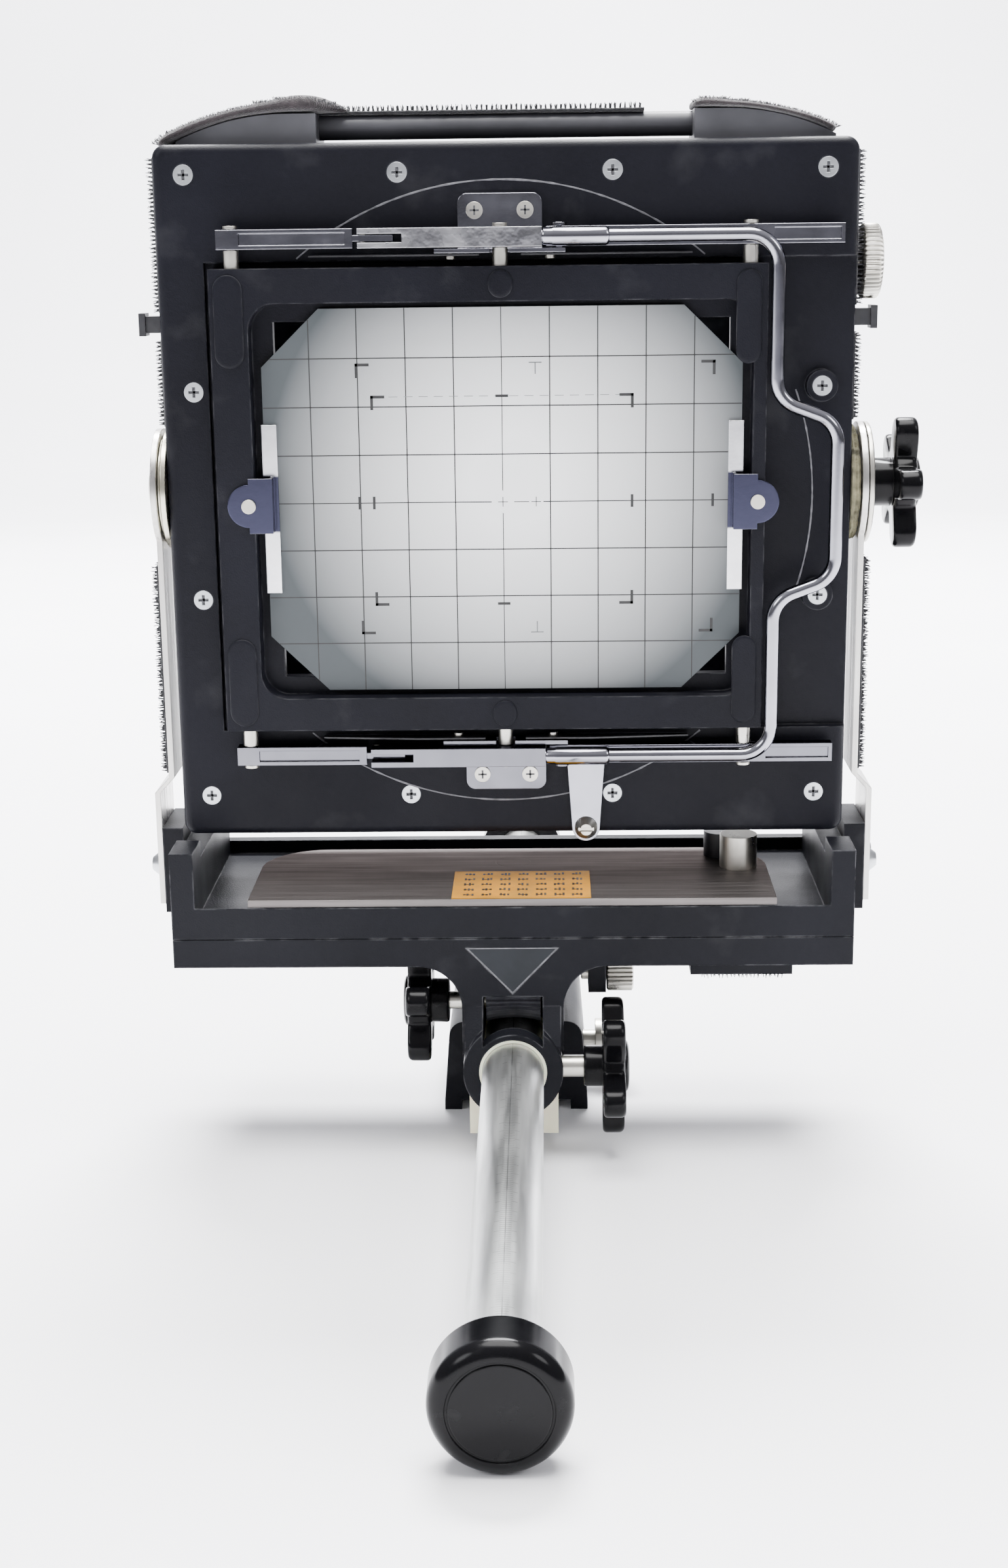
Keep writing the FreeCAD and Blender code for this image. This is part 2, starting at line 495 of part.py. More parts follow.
# ---- rail lock screw and knob ----
node(rod("rail_lock_rod", "x", ("rail_radius + running_gap", "lock_y", "rail_z"),
         "lock_stem - rail_radius - running_gap", "lock_screw_radius"), "rail_lock_screw")
star_knob("rail_lock_knob", "x", (0, "lock_y", "rail_z"), "knob_core", "lock_hub", "lock_lobe",
          "lock_knob_radius", "lock_stem", "lock_hub_radius", phase=-90)

# ---- shift lock: knurled knob under the base ----
shift_knob = join("shift_knob_join",
                  rod("shift_knob_rod", "x",
                      ("shift_lock_x - shift_knob_in", "shift_lock_y", "shift_lock_z"),
                      "shift_knob_length", "shift_knob_radius"),
                  rod("shift_shaft_rod", "x",
                      ("shift_lock_x - shift_shaft_in", "shift_lock_y", "shift_lock_z"),
                      "shift_shaft_length", "shift_shaft_radius"))
node(shift_knob, "shift_lock_knob")

# ---- swing plate with its pivot, post and card ----
plate = box("swing_plate_box", ("-swing_half", "swing_half"), ("swing_near", "swing_far"),
            ("swing_low", "swing_high"))
plate = rounded("swing_plate_round", plate, "swing_round",
                lambda middle, along: abs(along.z) > PARALLEL and middle.y > size("swing_far") - NEARBY)
plate_hole = rod("plate_hole", "z", (0, "pivot_y", "swing_low"), "swing_high - swing_low", "pivot_radius")
node(cut("swing_plate_cut", plate, plate_hole), "swing_plate")
node(rod("pivot_shank", "z", (0, "pivot_y", "base_low"), "swing_high - base_low", "pivot_radius"),
     "pivot_bolt")
node(rod("swing_post_rod", "z", ("post_x", "post_y", "swing_high"), "post_high - swing_high",
         "post_radius"), "swing_lock_post")
node(rod("swing_stop_rod", "z", ("stop_x", "stop_y", "swing_high"), "stop_high - swing_high",
         "stop_radius"), "swing_stop")
node(box("card_box", ("card_x - card_half", "card_x + card_half"), ("card_near", "card_far"),
         ("swing_high", "swing_high + card_thick")), "scale_card")

# ---- shift tray and tilt arms ----
tray = box("tray_block", ("-base_half", "base_half"), ("base_near", "base_far"),
           ("base_split + plate_gap", "upright_top"))
tray_hollow = box("tray_hollow", ("-(base_half - upright_thick)", "base_half - upright_thick"),
                  ("base_near - cut_margin", "base_far - tray_wall"), ("tray_top", "upright_top"))
tray_floor = box("tray_floor_cut", ("-(base_half - upright_thick)", "base_half - upright_thick"),
                 ("base_near + tray_lip", "base_far - tray_wall"), ("tray_floor", "upright_top"))
upright_back = box("upright_back", ("-base_half", "base_half"), ("upright_step", "base_far"),
                   ("upright_back_top", "upright_top"))
far_wall = box("far_wall_cut", ("-base_half", "base_half"), ("base_far - tray_wall", "base_far"),
               ("tray_top", "upright_top"))
slot = join("pivot_slot",
            box("slot_box", ("-shift_travel", "shift_travel"),
                ("pivot_y - pivot_radius - pivot_clear", "pivot_y + pivot_radius + pivot_clear"),
                ("base_split", "tray_floor")),
            rod("slot_left", "z", ("-shift_travel", "pivot_y", "base_split"), "tray_floor - base_split",
                "pivot_radius + pivot_clear"),
            rod("slot_right", "z", ("shift_travel", "pivot_y", "base_split"), "tray_floor - base_split",
                "pivot_radius + pivot_clear"))
bosses = [box(f"arm_boss_{side}", mirror_x(side, "base_half", "boss_out"), ("boss_near", "boss_far"),
              ("base_split + plate_gap", "boss_top")) for side in SIDES]
tray_shell = cut("tray_cut", tray, tray_hollow, tray_floor, upright_back, far_wall, slot)
screw_holes = [rod(f"arm_hole_{side}_{step}", "x",
                   (mirror_x(side, "boss_out - arm_hole_depth", "boss_out")[0],
                    f"tilt_y + {step} * arm_screw_y_step / 2", "arm_screw_z"),
                   "arm_hole_depth", "arm_shank_radius")
               for side in SIDES for step in (-1, 1)]
node(cut("tray_drilled", join("tray_join", tray_shell, *bosses), *screw_holes), "shift_tray")

for side in SIDES:
    upper = box(f"arm_upper_{side}", mirror_x(side, "arm_in", "arm_in + arm_thick"),
                ("tilt_y - arm_half_width", "tilt_y + arm_half_width"), ("arm_jog_high", "tilt_z"))
    lower = box(f"arm_lower_{side}", mirror_x(side, "arm_low_in", "arm_low_in + arm_thick"),
                ("tilt_y - arm_half_width", "tilt_y + arm_half_width"), ("arm_bottom", "arm_jog_low"))
    turn = SIDES[side]
    jog = extruded(f"arm_jog_{side}", "XZ_Plane",
                   [(f"{turn} * arm_in", "arm_jog_high"),
                    (f"{turn} * (arm_in + arm_thick)", "arm_jog_high"),
                    (f"{turn} * (arm_low_in + arm_thick)", "arm_jog_low"),
                    (f"{turn} * arm_low_in", "arm_jog_low")],
                   "2 * arm_half_width", "tilt_y - arm_half_width")
    eye_at = (mirror_x(side, "arm_in", "arm_in + arm_thick")[0], "tilt_y", "tilt_z")
    eye = rod(f"arm_eye_{side}", "x", eye_at, "arm_thick", "eye_radius")
    hole = rod(f"arm_eye_hole_{side}", "x", eye_at, "arm_thick", "axle_radius + running_gap")
    screws = [rod(f"arm_screw_hole_{side}_{step}", "x",
                  (mirror_x(side, "arm_low_in", "arm_low_in + arm_thick")[0],
                   f"tilt_y + {step} * arm_screw_y_step / 2", "arm_screw_z"), "arm_thick",
                  "arm_shank_radius") for step in (-1, 1)]
    node(cut(f"arm_cut_{side}", join(f"arm_join_{side}", upper, lower, jog, eye), hole, *screws),
         f"tilt_arm_{side}")

arm_screws = []
for side in SIDES:
    for step in (-1, 1):
        at = f"tilt_y + {step} * arm_screw_y_step / 2"
        axis = "x" if side == "right" else "-x"
        out = f"{SIDES[side]} * (arm_low_in + arm_thick)"
        back = "-x" if side == "right" else "x"
        name = f"arm_screw_{side}_{'near' if step < 0 else 'far'}"
        arm_screws.append(join(name,
                               cone(name + "_head", axis, (out, at, "arm_screw_z"), "arm_screw_high",
                                    "arm_screw_radius", "arm_screw_radius / 2"),
                               rod(name + "_shank", back, (out, at, "arm_screw_z"),
                                   "arm_shank_length", "arm_shank_radius")))
node(group("arm_screws_group", arm_screws), "arm_screws")

# ---- square frame: shell, back plate, flange ----
shell = box("shell_block", ("-frame_half", "frame_half"), ("plate_back", "shell_far"),
            ("centre_z - frame_high", "centre_z + frame_high"))
shell = rounded("shell_round", shell, "frame_round", lambda middle, along: abs(along.y) > PARALLEL)
cavity = box("shell_cavity", ("-(frame_half - shell_wall)", "frame_half - shell_wall"),
             ("plate_back", "shell_far"),
             ("centre_z - frame_high + shell_wall", "centre_z + frame_high - shell_wall"))
catch_holes = [box(f"catch_hole_{side}",
                   mirror_x(side, "catch_neck_in - cut_margin", "frame_half + cut_margin"),
                   ("catch_y - catch_neck_half - catch_gap", "catch_y + catch_neck_half + catch_gap"),
                   ("centre_z + catch_z - catch_neck_half - catch_gap",
                    "centre_z + catch_z + catch_neck_half + catch_gap")) for side in SIDES]
axle_holes = [rod(f"axle_hole_{side}", "x", (mirror_x(side, "frame_half - shell_wall", "frame_half")[0],
                                             "tilt_y", "tilt_z"), "shell_wall", "axle_radius")
              for side in SIDES]
side_hole = rod("side_knob_hole", "x", ("frame_half - shell_wall", "side_knob_y",
                                        "centre_z + side_knob_z"), "shell_wall",
                "side_shaft_radius + running_gap")
node(cut("shell_cut", shell, cavity, *catch_holes, *axle_holes, side_hole), "frame_shell")

SCREW_PLACES = [(f"{turn} * {column}", f"centre_z + {row}")
                for column in ("screw_outer_x", "screw_inner_x") for turn in (-1, 1)
                for row in ("screw_top_z", "screw_bottom_z")]
SCREW_PLACES += [(f"{turn} * screw_side_x", f"centre_z + {row}") for turn in (-1, 1)
                 for row in ("screw_side_high", "screw_side_low")]

back = box("back_block", ("-frame_half", "frame_half"), ("face_y", "plate_back"),
           ("centre_z - frame_high", "centre_z + frame_high"))
back = rounded("back_round", back, "frame_round", lambda middle, along: abs(along.y) > PARALLEL)
back = rounded("back_soften", back, "back_soft",
               lambda middle, along: abs(middle.y - size("face_y")) < TOUCH)
well = box("well", ("well_left", "frame_half + cut_margin"), ("face_y - cut_margin", "well_floor"),
           ("centre_z - well_half_z", "centre_z + well_half_z"))
light = box("light_opening", ("centre_x - light_half_x", "centre_x + light_half_x"),
            ("face_y", "plate_back"), ("centre_z - light_half_z", "centre_z + light_half_z"))
islands = [rod(f"screw_island_{row}", "y", ("screw_side_x", "face_y", f"centre_z + {row}"),
               "well_floor - face_y", "island_radius") for row in ("screw_side_high", "screw_side_low")]
plate_holes = []
for index, (x, z) in enumerate(SCREW_PLACES):
    plate_holes.append(rod(f"back_hole_{index}", "y", (x, "face_y", z), "screw_head", "screw_radius"))
    plate_holes.append(rod(f"back_shank_{index}", "y", (x, "face_y", z), "screw_length", "screw_shank"))
for end in ENDS:
    for turn in (-1, 1):
        plate_holes.append(rod(f"bracket_hole_{end}_{turn + 1}", "y",
                               (f"centre_x + {turn} * bracket_screw_x", "face_y",
                                f"centre_z + {ENDS[end]} * bracket_screw_z"),
                               "bracket_screw_length", "screw_shank"))
plate_holes.append(rod("lever_hole", "y", ("lever_x", "face_y", "centre_z + lock_lever_pivot"),
                       "lever_screw_length", "screw_shank"))
well_cut = cut("well_with_islands", well, *islands)
catch_cuts = [box(f"plate_catch_{side}",
                  mirror_x(side, "catch_neck_in - cut_margin", "frame_half + cut_margin"),
                  ("catch_y - catch_neck_half - catch_gap", "plate_back"),
                  ("centre_z + catch_z - catch_neck_half - catch_gap",
                   "centre_z + catch_z + catch_neck_half + catch_gap")) for side in SIDES]
node(cut("back_cut", back, well_cut, light, *plate_holes, *catch_cuts), "back_plate")

screws = []
for index, (x, z) in enumerate(SCREW_PLACES):
    name = f"back_screw_{index}"
    head = rod(name + "_head", "y", (x, "face_y", z), "screw_head", "screw_radius")
    shank = rod(name + "_shank", "y", (x, "face_y", z), "screw_length", "screw_shank")
    arms = [box(f"{name}_cross_{way}", (f"{x} - {across}", f"{x} + {across}"),
                ("face_y", "face_y + screw_head / 2"), (f"{z} - {up}", f"{z} + {up}"))
            for way, (across, up) in enumerate((("cross_width / 2", "screw_shank"),
                                                ("screw_shank", "cross_width / 2")))]
    screws.append(cut(name, join(name + "_blank", head, shank), *arms))
node(group("back_screws_group", screws), "back_screws")

flange = box("flange_block", ("-(frame_half - shell_wall)", "frame_half - shell_wall"),
             ("shell_far - flange_thick", "shell_far"),
             ("centre_z - frame_high + shell_wall", "centre_z + frame_high - shell_wall"))
flange_open = box("flange_opening", ("-flange_open", "flange_open"),
                  ("shell_far - flange_thick", "shell_far"),
                  ("centre_z - flange_open", "centre_z + flange_open"))
node(cut("flange_cut", flange, flange_open), "bellows_flange")

# ---- tilt hubs and friction washers ----
washers = []
for side in SIDES:
    axis = "x" if side == "right" else "-x"
    turn = SIDES[side]
    hole = rod(f"washer_hole_{side}", axis, (f"{turn} * washer_in", "tilt_y", "tilt_z"),
               "arm_in - washer_in", "axle_radius")
    body = rod(f"washer_body_{side}", axis, (f"{turn} * washer_in", "tilt_y", "tilt_z"),
               "arm_in - washer_in - plate_gap", "washer_radius")
    washers.append(cut(f"washer_cut_{side}", body, hole))
    axle = rod(f"hub_axle_{side}", axis, (f"{turn} * (frame_half - shell_wall)", "tilt_y", "tilt_z"),
               "hub_disc_out - frame_half + shell_wall", "axle_radius")
    head_at = (f"{turn} * (arm_in + arm_thick + plate_gap)", "tilt_y", "tilt_z")
    if side == "left":
        head = cone("hub_dome_left", axis, head_at, "hub_dome", "hub_dome_foot", "hub_dome_radius")
    else:
        head = rod("hub_disc_right", axis, head_at, "hub_disc_out - arm_in - arm_thick - plate_gap",
                   "eye_radius")
    node(join(f"hub_join_{side}", axle, head), f"tilt_hub_{side}")
node(group("washers_group", washers), "friction_washers")
star_knob("tilt_lock_knob", "x", (0, "tilt_y", "tilt_z"), "knob_core", "tilt_knob_stem", "tilt_knob_lobe",
          "tilt_knob_radius", "hub_disc_out + plate_gap", "tilt_hub_radius", phase=165)

# ---- carrying handle ----
for side in SIDES:
    hump = box(f"hump_{side}", mirror_x(side, "hump_in", "hump_out"), ("hump_near", "hump_far"),
               ("centre_z + frame_high", "hump_top"))
    curve = rod(f"hump_curve_{side}", "y",
                (f"{SIDES[side]} * (hump_in + hump_flat)", "hump_near", "hump_top - hump_curve"),
                "hump_far - hump_near", "hump_curve")
    flat = box(f"hump_flat_{side}", mirror_x(side, "hump_in", "hump_in + hump_flat"),
               ("hump_near", "hump_far"), ("centre_z + frame_high", "hump_top"))
    soft = join(f"hump_join_{side}", common(f"hump_sloped_{side}", hump, curve), flat)
    socket = rod(f"hump_socket_{side}", "x",
                 (mirror_x(side, "hump_in", "hump_in + bar_end")[0], "bar_y", "bar_z"),
                 "bar_end", "bar_radius")
    node(cut(f"hump_cut_{side}", soft, socket), f"handle_mount_{side}")
node(rod("handle_bar_rod", "x", ("-(hump_in + bar_end)", "bar_y", "bar_z"), "2 * (hump_in + bar_end)",
         "bar_radius"), "handle_bar")

# ---- hook-and-loop strips: on the frame's sides and handle, and on the tilt arms ----
strips = []
arm_strips = []
for side in SIDES:
    for part in ("upper", "lower"):
        strips.append(box(f"strip_{part}_{side}", mirror_x(side, "frame_half", "frame_half + strip_thick"),
                          ("strip_near", "strip_far"),
                          (f"centre_z + strip_{part}_low", f"centre_z + strip_{part}_high")))
    strips.append(box(f"strip_top_{side}", mirror_x(side, "hump_in", "hump_in + strip_top_length"),
                      ("hump_near", "hump_far"), ("hump_top", "hump_top + strip_thick")))
    arm_face = "arm_in + arm_thick"
    arm_strips.append(box(f"strip_arm_{side}", mirror_x(side, arm_face, f"{arm_face} + strip_thick"),
                          ("tilt_y - arm_half_width", "tilt_y + arm_half_width"),
                          ("centre_z + strip_arm_low", "centre_z + strip_arm_high")))
strips.append(box("strip_bar", ("-hump_in", "bar_strip_right"),
                  ("bar_y - bar_radius", "bar_y + bar_radius"),
                  ("bar_z + bar_radius", "bar_z + bar_radius + strip_thick")))
shaft_gap = rod("strip_shaft_gap", "x", ("frame_half", "side_knob_y", "centre_z + side_knob_z"),
                "strip_thick", "strip_hole_radius")
knob_strip = strips.index(doc.getObject("strip_upper_right"))
strips[knob_strip] = cut("strip_right_pierced", strips[knob_strip], shaft_gap)
node(group("frame_strips_group", strips), "frame_strips")
node(group("arm_strips_group", arm_strips), "arm_strips")

# ---- side catches and knurled side knob ----
for side in SIDES:
    neck = box(f"catch_neck_{side}", mirror_x(side, "catch_neck_in", "catch_neck_out"),
               ("catch_y - catch_neck_half", "catch_y + catch_neck_half"),
               ("centre_z + catch_z - catch_neck_half", "centre_z + catch_z + catch_neck_half"))
    tab = box(f"catch_tab_{side}", mirror_x(side, "catch_neck_out", "catch_out"),
              ("catch_y - catch_half", "catch_y + catch_half"),
              ("centre_z + catch_z - catch_half", "centre_z + catch_z + catch_half"))
    node(join(f"catch_join_{side}", neck, tab), f"back_catch_{side}")
drum = rod("side_knob_drum", "x", ("side_knob_in", "side_knob_y", "centre_z + side_knob_z"),
           "side_knob_out - side_knob_in", "side_knob_radius")
side_shaft = rod("side_knob_shaft", "x",
                 ("frame_half - shell_wall", "side_knob_y", "centre_z + side_knob_z"),
                 "side_knob_in - frame_half + shell_wall", "side_shaft_radius")
node(join("side_knob_join", drum, side_shaft), "side_knob")

# ---- focusing frame, ground glass, clips and posts ----
frame = box("gg_block", ("gg_left", "gg_right"), ("gg_near", "gg_far"),
            ("centre_z - gg_half_z", "centre_z + gg_half_z"))
opening = box("gg_opening", ("centre_x - gg_open_x", "centre_x + gg_open_x"), ("gg_near", "back_y"),
              ("centre_z - gg_open_z", "centre_z + gg_open_z"))
opening = rounded("gg_opening_round", opening, "gg_round", lambda middle, along: abs(along.y) > PARALLEL)
image = box("gg_image", ("centre_x - gg_image_x", "centre_x + gg_image_x"), ("gg_near", "gg_far"),
            ("centre_z - gg_image_z", "centre_z + gg_image_z"))
POSTS = {"left": "post_left", "centre": "centre_x", "right": "post_right"}
post_holes = [rod(f"post_hole_{end}_{spot}", "z",
                  (x, "post_line_y", mirror_z(end, "gg_half_z - post_sink", "gg_half_z")[0]),
                  "post_sink", "gg_post_radius") for end in ENDS for spot, x in POSTS.items()]
clip_cuts = [rod(f"clip_hole_{side}", "y", (f"centre_x + {SIDES[side]} * clip_x", "gg_near", "centre_z"),
                 "clip_screw_length", "clip_shank_radius") for side in SIDES]
node(cut("gg_cut", frame, opening, image, *post_holes, *clip_cuts), "focusing_frame")

corners = []
for turn_x, turn_z in ((1, 1), (-1, 1), (-1, -1), (1, -1)):
    flat = (f"centre_x + {turn_x} * (glass_half_x - glass_cut_x)", f"centre_z + {turn_z} * glass_half_z")
    upright = (f"centre_x + {turn_x} * glass_half_x",
               f"centre_z + {turn_z} * (glass_half_z - glass_cut_z)")
    corners += [upright, flat] if turn_x == turn_z else [flat, upright]
node(extruded("glass_body", "XZ_Plane", corners, "glass_thick", "back_y - glass_gap - glass_thick"),
     "ground_glass")

for side in SIDES:
    turn = SIDES[side]
    tab_out = f"centre_x + {turn} * clip_x"
    tab = rod(f"clip_round_{side}", "y", (tab_out, "gg_near - clip_thick", "centre_z"), "clip_thick",
              "clip_tab_radius")
    plate = box(f"clip_plate_{side}", sorted_x(turn, "centre_x", "clip_web", "clip_x"),
                ("gg_near - clip_thick", "gg_near"), ("centre_z - clip_half_z", "centre_z + clip_half_z"))
    web = box(f"clip_web_{side}", sorted_x(turn, "centre_x", "clip_web", "clip_web + clip_thick"),
              ("gg_near - clip_thick", "back_y - glass_gap - glass_thick"),
              ("centre_z - clip_half_z", "centre_z + clip_half_z"))
    spring = box(f"clip_spring_{side}",
                 sorted_x(turn, "centre_x", "clip_spring_x - clip_spring_half",
                          "clip_spring_x + clip_spring_half"),
                 ("back_y - glass_gap - glass_thick - clip_thick", "back_y - glass_gap - glass_thick"),
                 ("centre_z + clip_spring_low", "centre_z + clip_spring_high"))
    hole = rod(f"clip_screw_hole_{side}", "y", (tab_out, "gg_near - clip_thick", "centre_z"), "clip_thick",
               "clip_shank_radius")
    node(cut(f"clip_cut_{side}", join(f"clip_join_{side}", tab, plate, web, spring), hole),
         f"glass_clip_{side}")
clip_screws = []
for side in SIDES:
    at = f"centre_x + {SIDES[side]} * clip_x"
    clip_screws.append(join(f"clip_screw_{side}",
                            rod(f"clip_screw_head_{side}", "-y", (at, "gg_near - clip_thick", "centre_z"),
                                "clip_thick", "clip_screw"),
                            rod(f"clip_screw_shank_{side}", "y", (at, "gg_near - clip_thick", "centre_z"),
                                "clip_screw_length", "clip_shank_radius")))
node(group("clip_screws_group", clip_screws), "clip_screws")

posts = []
for end in ENDS:
    axis = "z" if end == "top" else "-z"
    turn = ENDS[end]
    for spot, x in POSTS.items():
        name = f"post_{end}_{spot}"
        posts.append(join(name,
                          rod(name + "_body", axis,
                              (x, "post_line_y", f"centre_z + {turn} * (gg_half_z - post_sink)"),
                              "link_low - gg_half_z + post_sink - plate_gap", "gg_post_radius"),
                          rod(name + "_pin", axis,
                              (x, "post_line_y", f"centre_z + {turn} * (link_low - plate_gap)"),
                              "link_high - link_low + 2 * plate_gap", "pin_radius"),
                          rod(name + "_head", axis,
                              (x, "post_line_y", f"centre_z + {turn} * (link_high + plate_gap)"),
                              "clip_thick", "pin_head")))
node(group("posts_group", posts), "frame_posts")

# ---- linkage: left arms, levers, bail, right bars ----
for end in ENDS:
    span = mirror_z(end, "link_low", "link_high")
    arm = box(f"arm_link_{end}", ("arm_left_end", "arm_left_join"), ("link_near", "link_far"), span)
    arm = cut(f"arm_channel_{end}", arm,
              box(f"arm_groove_{end}", ("arm_left_end + groove_end", "arm_left_join - groove_join"),
                  ("link_near", "link_near + bar_wall"),
                  mirror_z(end, "link_low + bar_wall", "link_high - bar_wall")))
    tongue = box(f"arm_tongue_{end}", ("arm_left_join", "tongue_end"), ("tongue_near", "tongue_far"),
                 mirror_z(end, "tongue_low", "tongue_high"))
    pin_way = box(f"tongue_way_{end}", ("clevis_x - clevis_pin - clevis_room", "tongue_end - tongue_wall"),
                  ("post_line_y - clevis_pin - clevis_slack", "post_line_y + clevis_pin + clevis_slack"),
                  mirror_z(end, "tongue_low", "tongue_high"))
    hole = rod(f"arm_hole_{end}", "z", ("post_left", "post_line_y", span[0]), "link_high - link_low",
               "pin_radius + running_gap")
    node(cut(f"arm_cut_{end}", join(f"arm_link_join_{end}", arm, tongue), pin_way, hole),
         f"left_arm_{end}")

    body = box(f"lever_block_{end}", ("lever_left", "lever_right"), ("lever_near", "lever_far"), span)
    slot = box(f"lever_slot_{end}", ("lever_left", "lever_slot_end"), ("lever_near", "lever_far"),
               mirror_z(end, "tongue_low - tongue_slack", "tongue_high + tongue_slack"))
    hole = rod(f"lever_hole_{end}", "z", ("centre_x", "post_line_y", span[0]), "link_high - link_low",
               "pin_radius + running_gap")
    pin_hole = rod(f"clevis_hole_{end}", "z", ("clevis_x", "post_line_y", span[0]), "link_high - link_low",
                   "clevis_pin")
    wire_hole = rod(f"wire_hole_{end}", "-x",
                    ("lever_right", "bail_y", f"centre_z + {ENDS[end]} * link_middle"),
                    "wire_sink", "bail_radius")
    node(cut(f"lever_cut_{end}", body, slot, hole, pin_hole, wire_hole), f"bail_lever_{end}")

    bar = box(f"bar_block_{end}", ("bar_left", "bar_right"), ("bar_near", "link_far"), span)
    groove = box(f"bar_groove_{end}", ("bar_pivot_x + bar_groove_end", "post_right - bar_groove_end"),
                 ("bar_near", "bar_near + bar_wall"),
                 mirror_z(end, "link_low + bar_wall", "link_high - bar_wall"))
    tip_groove = box(f"bar_tip_groove_{end}", ("post_right + bar_tip_start", "bar_right - bar_wall"),
                     ("bar_near", "bar_near + bar_wall"),
                     mirror_z(end, "link_low + bar_wall", "link_high - bar_wall"))
    pivot = rod(f"bar_pivot_hole_{end}", "z", ("bar_pivot_x", "post_line_y", span[0]),
                "link_high - link_low", "pin_radius + running_gap")
    post_way = box(f"bar_post_slot_{end}",
                   ("post_right - pin_radius - bar_slot_in", "post_right + pin_radius + bar_slot_out"),
                   ("post_line_y - pin_radius - post_slack", "post_line_y + pin_radius + post_slack"), span)
    node(cut(f"bar_cut_{end}", bar, groove, tip_groove, pivot, post_way), f"right_bar_{end}")

clevis_pins = [rod(f"clevis_pin_{end}", "z",
                   ("clevis_x", "post_line_y", mirror_z(end, "link_low", "link_high")[0]),
                   "link_high - link_low", "clevis_pin") for end in ENDS]
node(group("clevis_group", clevis_pins), "clevis_pins")


def bent_wire(corners, bend, radius):
    """A round wire along straight runs joined by tangent bends."""
    edges = []
    start = corners[0]
    for before, corner, after in zip(corners, corners[1:], corners[2:]):
        inward = (before - corner).normalize()
        outward = (after - corner).normalize()
        half = inward.getAngle(outward) / 2
        leg = bend / math.tan(half)
        first = corner + inward * leg
        last = corner + outward * leg
        middle = (inward + outward).normalize()
        crown = corner + middle * (bend / math.sin(half) - bend)
        edges.append(Part.LineSegment(start, first).toShape())
        edges.append(Part.Arc(first, crown, last).toShape())
        start = last
    edges.append(Part.LineSegment(start, corners[-1]).toShape())
    path = Part.Wire(edges)
    heading = (corners[1] - corners[0]).normalize()
    ring = Part.Wire([Part.Circle(corners[0], heading, radius).toShape()])
    return path.makePipeShell([ring], True, False)


def spot(x, z):
    """A point of the bail, which lies in one upright plane."""
    return FreeCAD.Vector(x, size("bail_y"), size("centre_z") + z)


wire_start = size("lever_right") - size("wire_sink")
bail_corners = [
    spot(wire_start, size("link_middle")), spot(size("bail_side"), size("link_middle")),
    spot(size("bail_side"), size("bail_bow_in_z")), spot(size("bail_bow"), size("bail_bow_out_z")),
    spot(size("bail_bow"), -size("bail_bow_out_z")), spot(size("bail_side"), -size("bail_bow_in_z")),
    spot(size("bail_side"), -size("link_middle")), spot(wire_start, -size("link_middle")),
]
bail = doc.addObject("Part::Feature", "bail_wire_shape")
bail.Shape = bent_wire(bail_corners, size("bail_bend"), size("bail_radius"))
bail.Placement = FreeCAD.Placement()
node(bail, "bail_wire")

# ---- brackets, pivot pins, leaf springs ----
for end in ENDS:
    turn = ENDS[end]
    plate = box(f"bracket_plate_{end}", ("centre_x - bracket_half", "centre_x + bracket_half"),
                ("face_y - bracket_thick", "face_y"), mirror_z(end, "bracket_flange_low", "bracket_top"))
    plate = rounded(f"bracket_round_{end}", plate, "bracket_corner",
                    lambda middle, along, turn=turn: abs(along.y) > PARALLEL
                    and (middle.z - size("centre_z")) * turn > size("bracket_top") - NEARBY)
    flange = box(f"bracket_flange_{end}",
                 ("centre_x - bracket_flange_half", "centre_x + bracket_flange_half"),
                 ("bracket_flange_near", "face_y"),
                 mirror_z(end, "bracket_flange_low", "bracket_flange_high"))
    post_way = box(f"bracket_post_slot_{end}", ("centre_x - post_slot", "centre_x + post_slot"),
                   ("bracket_flange_near", "post_line_y + post_slot"),
                   mirror_z(end, "bracket_flange_low", "bracket_flange_high"))
    holes = [rod(f"bracket_screw_hole_{end}_{way + 1}", "y",
                 (f"centre_x + {way} * bracket_screw_x", "face_y - bracket_thick",
                  f"centre_z + {turn} * bracket_screw_z"), "bracket_thick", "screw_shank")
             for way in (-1, 1)]
    leaf_holes = [rod(f"flange_leaf_hole_{end}_{way + 1}", "z",
                      (f"centre_x + {way} * leaf_screw_x", "leaf_screw_y",
                       mirror_z(end, "bracket_flange_low", "bracket_flange_high")[0]),
                      "bracket_flange_high - bracket_flange_low", "leaf_shank_radius") for way in (-1, 1)]
    axis = "z" if end == "top" else "-z"
    pin = rod(f"bar_pin_{end}", axis,
              ("bar_pivot_x", "post_line_y", f"centre_z + {turn} * bracket_flange_low"),
              "link_high - bracket_flange_low + 2 * plate_gap", "pin_radius")
    pin_head = rod(f"bar_pin_head_{end}", axis,
                   ("bar_pivot_x", "post_line_y", f"centre_z + {turn} * (link_high + plate_gap)"),
                   "clip_thick", "pin_head")
    bare = cut(f"bracket_cut_{end}", join(f"bracket_join_{end}", plate, flange), post_way, *holes,
               *leaf_holes)
    node(join(f"bracket_pinned_{end}", bare, pin, pin_head), f"spring_bracket_{end}")

